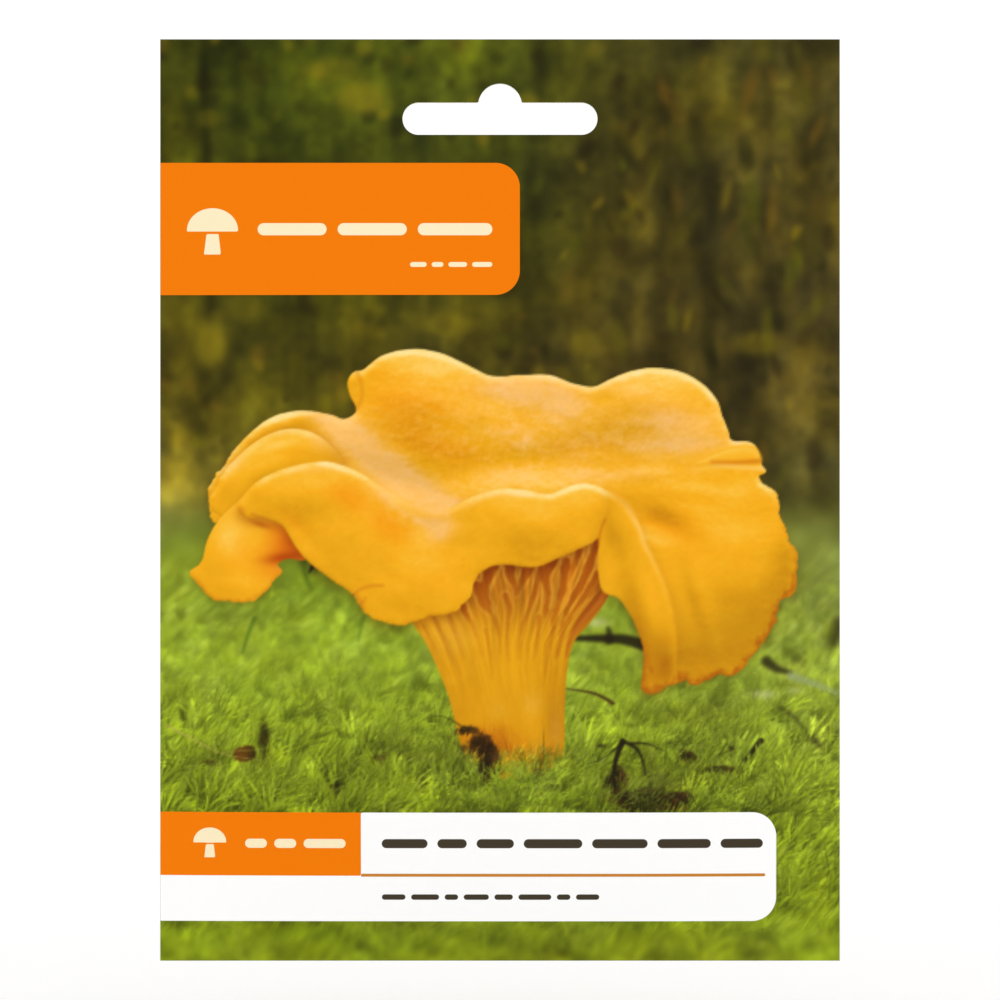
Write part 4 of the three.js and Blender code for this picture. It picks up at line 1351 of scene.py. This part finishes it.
def printed_paper(name, inks):
    """Coated paper that carries the picture and any flat inks over it."""
    material, tree, shader = new_material(name)
    colour = picture_colour(tree)
    for attribute, ink in inks:
        colour = inked(tree, colour, attribute, ink)
    tree.links.new(colour, shader.inputs["Base Color"])
    shader.inputs["Specular IOR Level"].default_value = 0.05
    fibre = grain(tree, shader, 2600.0, 0.10, 0.00005)
    gloss = tree.nodes.new("ShaderNodeMapRange")
    gloss.inputs["To Min"].default_value = 0.38
    gloss.inputs["To Max"].default_value = 0.52
    tree.links.new(fibre.outputs["Fac"], gloss.inputs["Value"])
    tree.links.new(gloss.outputs["Result"], shader.inputs["Roughness"])
    return material


def speckled(name, dark, light, grains, roughness, specular):
    """A plain material whose tint runs from dark to light with its grain."""
    material, tree, shader = new_material(name)
    noise = grain(tree, shader, *grains)
    tint = tree.nodes.new("ShaderNodeValToRGB")
    tint.color_ramp.elements[0].color = linear_colour(*dark)
    tint.color_ramp.elements[1].color = linear_colour(*light)
    tree.links.new(noise.outputs["Fac"], tint.inputs["Fac"])
    tree.links.new(tint.outputs["Color"], shader.inputs["Base Color"])
    shader.inputs["Roughness"].default_value = roughness
    shader.inputs["Specular IOR Level"].default_value = specular
    return material


# ---------------------------------------------------------------- front
CELL = 0.25  # between the vertices of the printed sheets
MAP_SHARE = 0.97  # of the map's height that the outer face takes


def bake_map(obj, across, down, source, kinds):
    """A UV map that gives the outer face nearly the whole square, and the rest a narrow strip over it."""
    mesh = obj.data
    layer = mesh.uv_layers.new(name="OFBake")
    corner = np.zeros(len(mesh.loops), np.int32)
    mesh.loops.foreach_get("vertex_index", corner)
    places = np.stack([across.ravel()[source][corner], down.ravel()[source][corner] * MAP_SHARE], -1)
    loops = np.repeat(kinds, 4) > 0
    rest = int(loops.sum()) // 4
    if rest:
        left = np.arange(rest) / rest
        right = left + 1 / rest
        low, high = np.full(rest, MAP_SHARE + 0.01), np.full(rest, 0.995)
        places[loops] = np.stack([left, low, right, low, right, high, left, high], -1).reshape(-1, 2)
    layer.data.foreach_set("uv", places.astype(np.float32).ravel())


def piece(name, outer, inner, keep, materials, replaces, slot, closed=True, unfolded=None):
    """A named piece between two faces. unfolded gives its map's places, from 0 to 1."""
    points, faces, kinds, source = shell(outer, inner, keep, closed)
    obj = mesh_object(name, points, faces, kinds, materials)
    if unfolded:
        bake_map(obj, *unfolded, source, kinds)
    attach(obj, "root")
    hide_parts(replaces)
    return obj, source


def every_cell(u):
    return np.ones((u.shape[0] - 1, u.shape[1] - 1), bool)


def printed_panel(name, side, creases, inks, replaces, slot):
    """The front (side -1) or the back (side 1), whose edges turn in at the folds.

    Returns also each vertex's place in the print, right and down."""
    u, v = np.meshgrid(folded_lines(PACKET_WIDTH, PLY, CELL), folded_lines(PACKET_HEIGHT, PLY, CELL))
    keep, rim = slot_cells(u, v)
    u, v = snap_to_slot(u, v, rim)
    along, back_u = fold(u, PACKET_WIDTH, PLY)
    down, back_v = fold(v, PACKET_HEIGHT, PLY)
    turned = np.minimum(back_u + back_v, PLY)
    depth = PLY + (belly(along, down) + creases(along, down)) - turned
    outer = world(along, down, side * depth)
    inner = world(along, down, side * (depth - PAPER))
    unfolded = (u - u.min()) / np.ptp(u), 1 - (v - v.min()) / np.ptp(v)
    materials = (printed_paper(slot, inks), CORE)
    obj, source = piece(name, outer, inner, keep, materials, replaces, slot, False, unfolded)
    return obj, u.ravel()[source], v.ravel()[source]


def front_creases(u, v):
    """Slight unevenness of the filled paper: soft dents over the pocket."""
    rng = np.random.default_rng(21)
    pocket = belly(u, v) / BELLY
    rows, columns = u.shape
    broad = spread(rng.uniform(-1, 1, (9, 8)).astype(np.float32), rows, columns)
    fine = spread(rng.uniform(-1, 1, (30, 22)).astype(np.float32), rows, columns)
    return (0.16 * broad + 0.03 * fine) * pocket**0.5


def make_front(picture):
    inks = (("orange_depth", ORANGE), ("white_depth", WHITE), ("line_depth", LINE_BROWN),
            ("cream_depth", CREAM), ("dark_depth", DARK_INK))
    obj, u, v = printed_panel("front_sheet", -1, front_creases, inks, "front_panel", "printed_front")
    colour_points(obj, look_up(picture, u, v))
    ink_points(obj, PANELS, u, v)
    ink_points(obj, front_signs(np.random.default_rng(5)), u, v)


def front_signs(rng):
    """Plain signs and bars where such a packet carries its words."""
    cream = [sign(8.6, 31.4, 8.4), sign(8.2, 131.6, 5.4)]
    cream += words(rng, 16.0, 54.5, 31.2, 2.0, 1.8)
    cream += words(rng, 41.0, 54.5, 37.0, 0.8, 0.8)
    cream += words(rng, 14.0, 30.5, 131.8, 1.5, 1.2)
    dark = words(rng, 36.4, 98.8, 131.8, 1.5, 1.6)
    dark += words(rng, 36.4, 72.0, 140.6, 0.9, 0.9)
    return {"cream_depth": cream, "dark_depth": dark}


# ---------------------------------------------------------------- back
MARGIN = 6
STEP_PITCH, STEP_WIDTH = 31, 26
MONTH_PITCH, MONTH_WIDTH = 7.3, 6.6


def back_signs(rng):
    """The back's plain print, placed as seen from behind: right of the left edge and down from the top."""
    orange = [box(0, 26.5, 92, 36.5, CORNER, CORNER), box(MARGIN, 104, 94, 104.6)]
    cream = [sign(9, 31.2, 7.0)] + words(rng, 16, 62, 31.5, 2.0, 1.5)
    dark = []
    for k in range(7):
        dark += words(rng, MARGIN, rng.uniform(76, 95), 42.5 + 3.1 * k, 1.1, 0.9)
    # three steps: a log with holes, plugs in them, and mushrooms that stand on it
    for k in range(3):
        left = MARGIN + STEP_PITCH * k
        dark.append(outlined_box(left, 67.5, left + STEP_WIDTH, 88.5, 0.35))
        dark += words(rng, left, left + rng.uniform(20, 26), 91.8, 1.0, 0.8)
        dark += words(rng, left, left + rng.uniform(14, 24), 94.4, 1.0, 0.8)
        orange.append(bar(left + 2.5, left + 23.5, 83.0, 6.0))
    for hole in range(5):
        cream.append(dot(MARGIN + 5.2 + 3.9 * hole, 83, 0.75))
        dark.append(dot(MARGIN + STEP_PITCH + 5.2 + 3.9 * hole, 83, 0.75))
    for x, size in ((74.5, 5.5), (80.5, 8.0), (87.0, 6.0)):
        dark.append(sign(x, 80.5 - 0.5 * size, size))
    # a calendar of twelve months
    for month in range(12):
        left = MARGIN + MONTH_PITCH * month
        dark.append(outlined_box(left, 108, left + MONTH_WIDTH, 113.5, 0.3))
        if 2 <= month <= 9:
            orange.append(box(left + 0.9, 108.9, left + 5.7, 112.6))
    dark.append(outlined_box(MARGIN, 118, 52, 132, 0.3))
    for k in range(4):
        dark += words(rng, 56, rng.uniform(84, 95), 119.5 + 3.6 * k, 1.1, 0.9)
    return {"orange_depth": orange, "cream_depth": cream, "dark_depth": dark}


def no_creases(u, v):
    return 0


def make_back():
    inks = (("orange_depth", ORANGE), ("cream_depth", CREAM), ("dark_depth", DARK_INK))
    obj, u, v = printed_panel("back_sheet", 1, no_creases, inks, "back_panel", "printed_back")
    rng = np.random.default_rng(8)
    colour_points(obj, rgb(240, 236, 220) * np.ones((len(u), 1)) + rng.normal(0, 0.004, (len(u), 1)))
    ink_points(obj, back_signs(rng), PACKET_WIDTH - u, v)


# ---------------------------------------------------------------- flaps
def flap_grid(length, reach, cell):
    """How far along and from its fold each point of a flap lies, with the fold itself as a quarter turn."""
    turn = FLAP_PLY * pi / 2
    folded = np.linspace(0, turn, 9)[:-1]
    rows = np.concatenate([folded, np.linspace(turn, turn + reach - FLAP_PLY, int(reach / cell))])
    columns = np.linspace(0, 1, int(length / cell) + 1)
    t, s = np.meshgrid(columns, rows)
    beyond = np.clip(s - turn, 0, None) + FLAP_PLY
    beyond = np.where(s < turn, FLAP_PLY * (1 - np.cos(s / FLAP_PLY)), beyond)
    taper = FLAP_TAPER * beyond / reach
    along = taper + t * (length - 2 * taper)
    return s, beyond, along


def flap_depths(s, u, v, lift):
    """The depth of a flap's outer and inner faces, from the fold's edge on to the free edge."""
    turned = np.clip(s / FLAP_PLY, 0, pi / 2)
    base = belly(u, v) + lift
    outer = FLAP_PLY * np.sin(turned) + base
    inner = (FLAP_PLY - PAPER) * np.sin(turned) + base
    return outer, inner


def make_flap(name, place, length, reach, picture, replaces, slot, cut=False):
    """A flap with the print of the sheet's unfolded place.

    place(beyond, along, s) gives a point's u and v on the packet and on the unfolded print."""
    s, beyond, along = flap_grid(length, reach, CELL)
    u, v, print_u, print_v = place(beyond, along, s)
    keep = every_cell(u)
    if cut:
        keep, rim = slot_cells(u, v)
        u, v = snap_to_slot(u, v, rim)
    # free edges stand a little away from the panel
    lift = 0.10 * np.clip((s - reach + 5) / 5, 0, 1) ** 2
    outer_depth, inner_depth = flap_depths(s, u, v, lift)
    inward = np.where(s < FLAP_PLY * pi / 2, PAPER * np.cos(np.clip(s / FLAP_PLY, 0, pi / 2)), 0)
    iu, iv, _, _ = place(beyond + inward, along, s)
    iu, iv = np.where(inward > 0, iu, u), np.where(inward > 0, iv, v)
    outer, inner = world(u, v, outer_depth), world(iu, iv, inner_depth)
    materials = (printed_paper(name, ()), CORE)
    unfolded = along / length, 1 - s / s.max()
    obj, source = piece(name, outer, inner, keep, materials, replaces, slot, True, unfolded)
    colour_points(obj, look_up(picture, print_u.ravel()[source], print_v.ravel()[source]))


def make_flaps(picture):
    def top(beyond, along, s):
        u = FLAP_INSET + along
        return u, beyond, u, -s

    def bottom(beyond, along, s):
        u = FLAP_INSET + along
        return u, PACKET_HEIGHT - beyond, u, PACKET_HEIGHT + s

    def side(beyond, along, s):
        v = HEADER + FLAP_GAP + along
        return beyond, v, -s, v

    wide = PACKET_WIDTH - 2 * FLAP_INSET
    high = PACKET_HEIGHT - HEADER - BOTTOM_FLAP - 2 * FLAP_GAP
    make_flap("top_flap_sheet", top, wide, TOP_FLAP, picture, "top_flap",
              "printed_top_flap", True)
    make_flap("bottom_flap_sheet", bottom, wide, BOTTOM_FLAP, picture, "bottom_flap",
              "printed_lower_flaps")
    make_flap("side_flap_sheet", side, high, SIDE_FLAP, picture, "side_flap", "printed_lower_flaps")


# ---------------------------------------------------------------- inside
def dress_glue():
    material = speckled("adhesive", (222, 210, 176), (240, 232, 206), (900.0, 0.3, 0.00005), 0.4, 0.5)
    for name in ("top_flap_glue", "bottom_flap_glue", "side_flap_glue"):
        node = frame["nodes"][name]
        node.data.materials.clear()
        node.data.materials.append(material)


SACHET_WIDTH, SACHET_HEIGHT, SACHET_ABOVE_BOTTOM = 84.0, 86.0, 11.0
SACHET_LEFT = (PACKET_WIDTH - SACHET_WIDTH) / 2
SACHET_TOP = PACKET_HEIGHT - SACHET_ABOVE_BOTTOM - SACHET_HEIGHT
FILM = 0.15
SEAL_DEPTH = 0.20  # half the depth of the two films where they are sealed
SEAL_BAND, FILM_RAMP = 6.0, 12.0
SACHET_CLEARANCE = 0.30  # from the film to the middle of the paper's gap
SPAWN_CLEARANCE = 0.15
SPAWN_INSET = 12.0  # from the sachet's edge to the spawn
SPAWN_EDGE = 0.5
GRAIN = 2.3  # between the spawn's grains
GRAIN_RELIEF = 0.75
FILM_CELL, SPAWN_CELL = 0.5, 0.45
CRIMP_PITCH, CRIMP_HEIGHT = 1.5, 0.04
PUCKER, PULL = 0.30, 0.25  # the most by which the film puckers and pulls inwards


def sachet_inward(u, v):
    """Millimetres inside the sachet's own edge."""
    return np.minimum(np.minimum(u - SACHET_LEFT, SACHET_LEFT + SACHET_WIDTH - u),
                      np.minimum(v - SACHET_TOP, SACHET_TOP + SACHET_HEIGHT - v))


def sachet_depth(u, v):
    """Half the sachet's outside depth."""
    inflation = ramp(0, FILM_RAMP, sachet_inward(u, v) - SEAL_BAND)
    return SEAL_DEPTH + np.maximum(belly(u, v) - SACHET_CLEARANCE - SEAL_DEPTH, 0) * inflation


def sachet_grid(inset, cell):
    us = np.arange(SACHET_LEFT + inset, SACHET_LEFT + SACHET_WIDTH - inset + cell / 2, cell)
    vs = np.arange(SACHET_TOP + inset, SACHET_TOP + SACHET_HEIGHT - inset + cell / 2, cell)
    return np.meshgrid(us, vs)


def clear_film():
    material, tree, shader = new_material("sachet_film")
    shader.inputs["Base Color"].default_value = linear_colour(241, 245, 246)
    shader.inputs["Roughness"].default_value = 0.12
    shader.inputs["Alpha"].default_value = 0.35
    grain(tree, shader, 700.0, 0.15, 0.0001)
    return material


def make_films():
    """The sachet's two films: crimped where they are sealed, and puckered inside the seal."""
    rng = np.random.default_rng(31)
    u, v = sachet_grid(0.0, FILM_CELL)
    inward = sachet_inward(u, v)
    seal = ramp(SEAL_BAND, SEAL_BAND - 1, inward)
    crimp = CRIMP_HEIGHT * np.sin(2 * pi * v / CRIMP_PITCH) * seal
    material = clear_film()
    for name, side, node in (("front_film", -1, "sachet_front_film"), ("back_film", 1, "sachet_back_film")):
        pucker = spread(rng.uniform(0, 1, (30, 30)).astype(np.float32), *u.shape)
        pull = spread(rng.uniform(0, 1, (9, 9)).astype(np.float32), *u.shape)
        slack = (PUCKER * pucker + PULL * pull) * ramp(SEAL_BAND, SEAL_BAND + 5, inward)
        depth = side * (sachet_depth(u, v) - slack * ramp(SEAL_DEPTH, 1.5, sachet_depth(u, v)))
        outer = world(u, v, depth + crimp)
        inner = world(u, v, depth - side * FILM + crimp)
        piece(name, outer, inner, every_cell(u), (material,), node, "sachet_film")


def grain_height(rng, u, v):
    """0 between the spawn's grains and 1 on top of each, and a number that tells the grains apart."""
    rows, columns = int(np.ptp(v) / GRAIN) + 3, int(np.ptp(u) / GRAIN) + 3
    jitter = rng.uniform(0.15, 0.85, (2, rows, columns))
    kind = rng.uniform(0, 1, (rows, columns))
    x, y = (u - u.min()) / GRAIN + 1, (v - v.min()) / GRAIN + 1
    column, row = x.astype(int), y.astype(int)
    nearest, which = np.full(u.shape, 9.0), np.zeros(u.shape)
    for i in (-1, 0, 1):
        for j in (-1, 0, 1):
            r, c = np.clip(row + i, 0, rows - 1), np.clip(column + j, 0, columns - 1)
            far = np.hypot(x - c - jitter[0, r, c], y - r - jitter[1, r, c])
            which = np.where(far < nearest, kind[r, c], which)
            nearest = np.minimum(far, nearest)
    return np.sqrt(np.clip(1 - nearest**2, 0, 1)), which


def make_spawn():
    """Grains of spawn, bound and whitened in places by the mycelium that grows through them."""
    rng = np.random.default_rng(41)
    u, v = sachet_grid(SPAWN_INSET + 0.25, SPAWN_CELL)
    inward = sachet_inward(u, v) - SPAWN_INSET
    full = sachet_depth(u, v) - FILM - SPAWN_CLEARANCE - (PUCKER + PULL)
    body = np.maximum(SPAWN_EDGE * 0.5, SPAWN_EDGE + (full - SPAWN_EDGE) * ramp(0, 6, inward))
    faces_of = []
    for side in (-1, 1):
        height, which = grain_height(rng, u, v)
        faces_of.append(world(u, v, side * (body - GRAIN_RELIEF * (1 - height) * ramp(0, 3, inward))))
    material, tree, shader = new_material("spawn")
    tree.links.new(picture_colour(tree), shader.inputs["Base Color"])
    shader.inputs["Roughness"].default_value = 0.9
    shader.inputs["Specular IOR Level"].default_value = 0.2
    grain(tree, shader, 1800.0, 0.5, 0.0003)
    obj, source = piece("spawn_grains", *faces_of, every_cell(u), (material,), "spawn_fill", "spawn")
    brown = mix(rgb(96, 66, 38), rgb(158, 120, 74), which[..., None])
    web = cloud(rng, 6, 6, 4, 0.8, *u.shape)
    web = ramp(0.0, 0.5, web + 0.5 * (0.6 - height))
    # painted shade: each grain's brown is darker low down, in the hollows between the grains, and the
    # mycelium's white lies over it
    colour = mix(brown * (0.6 + 0.4 * height[..., None]), rgb(236, 230, 212), web * 0.8)
    colour_points(obj, colour.reshape(-1, 3)[source])


# ---------------------------------------------------------------- studio
FLOOR_BELOW = 14.0
FLOOR_HALF = 2.5  # metres
LENS, SENSOR = 150.0, 36.0
VIEW_WIDTH = 164.1  # what the camera sees across at the packet


def make_studio():
    scene = bpy.context.scene
    scene.view_settings.view_transform = "Standard"
    world_light = bpy.data.worlds.new("soft_white_room")
    world_light.use_nodes = True
    tree = world_light.node_tree
    background = tree.nodes["Background"]
    background.inputs["Color"].default_value = (1, 1, 1, 1)
    background.inputs["Strength"].default_value = 1.03
    scene.world = world_light

    floor_mesh = bpy.data.meshes.new("floor")
    size, level = FLOOR_HALF, (TOP_EDGE - PACKET_HEIGHT - FLOOR_BELOW) * MM
    corners = [(-size, -size, level), (size, -size, level), (size, size, level), (-size, size, level)]
    floor_mesh.from_pydata(corners, [], [(0, 1, 2, 3)])
    material, tree, shader = new_material("floor")
    shader.inputs["Base Color"].default_value = (0.99, 0.99, 0.99, 1)
    shader.inputs["Roughness"].default_value = 0.9
    shader.inputs["Specular IOR Level"].default_value = 0.0
    floor_mesh.materials.append(material)
    floor = bpy.data.objects.new("floor", floor_mesh)
    scene.collection.objects.link(floor)

    camera_data = bpy.data.cameras.new("camera")
    camera_data.lens = LENS
    camera_data.sensor_width = SENSOR
    camera = bpy.data.objects.new("camera", camera_data)
    centre_x = LEFT_EDGE + PACKET_WIDTH / 2
    centre_z = TOP_EDGE - PACKET_HEIGHT / 2
    camera.location = np.array([centre_x, -VIEW_WIDTH * LENS / SENSOR, centre_z]) * MM
    camera.rotation_euler = (pi / 2, 0, 0)
    camera_data.clip_start, camera_data.clip_end = 0.01, 20
    scene.collection.objects.link(camera)
    scene.camera = camera


def paint_picture():
    rng = np.random.default_rng(7)
    forest = paint_forest(rng)
    moss, lean = paint_moss(rng)
    nearer = ramp(FOREST_FADES, MOSS_ALONE, DOWNWARD)[:, None]
    behind = mix(forest, moss, nearer * np.ones((1, COLUMNS), np.float32))
    return blur(paint_mushroom(np.random.default_rng(11), behind, lean), 0.07)


# the unprinted fibre of a cut edge and of the sheet's inner face
CORE = speckled("board_core", (232, 226, 210), (250, 247, 238), (3500.0, 0.35, 0.00008), 0.85, 0.2)
picture = paint_picture()
make_front(picture)
make_back()
make_flaps(picture)
dress_glue()
make_films()
make_spawn()
make_studio()
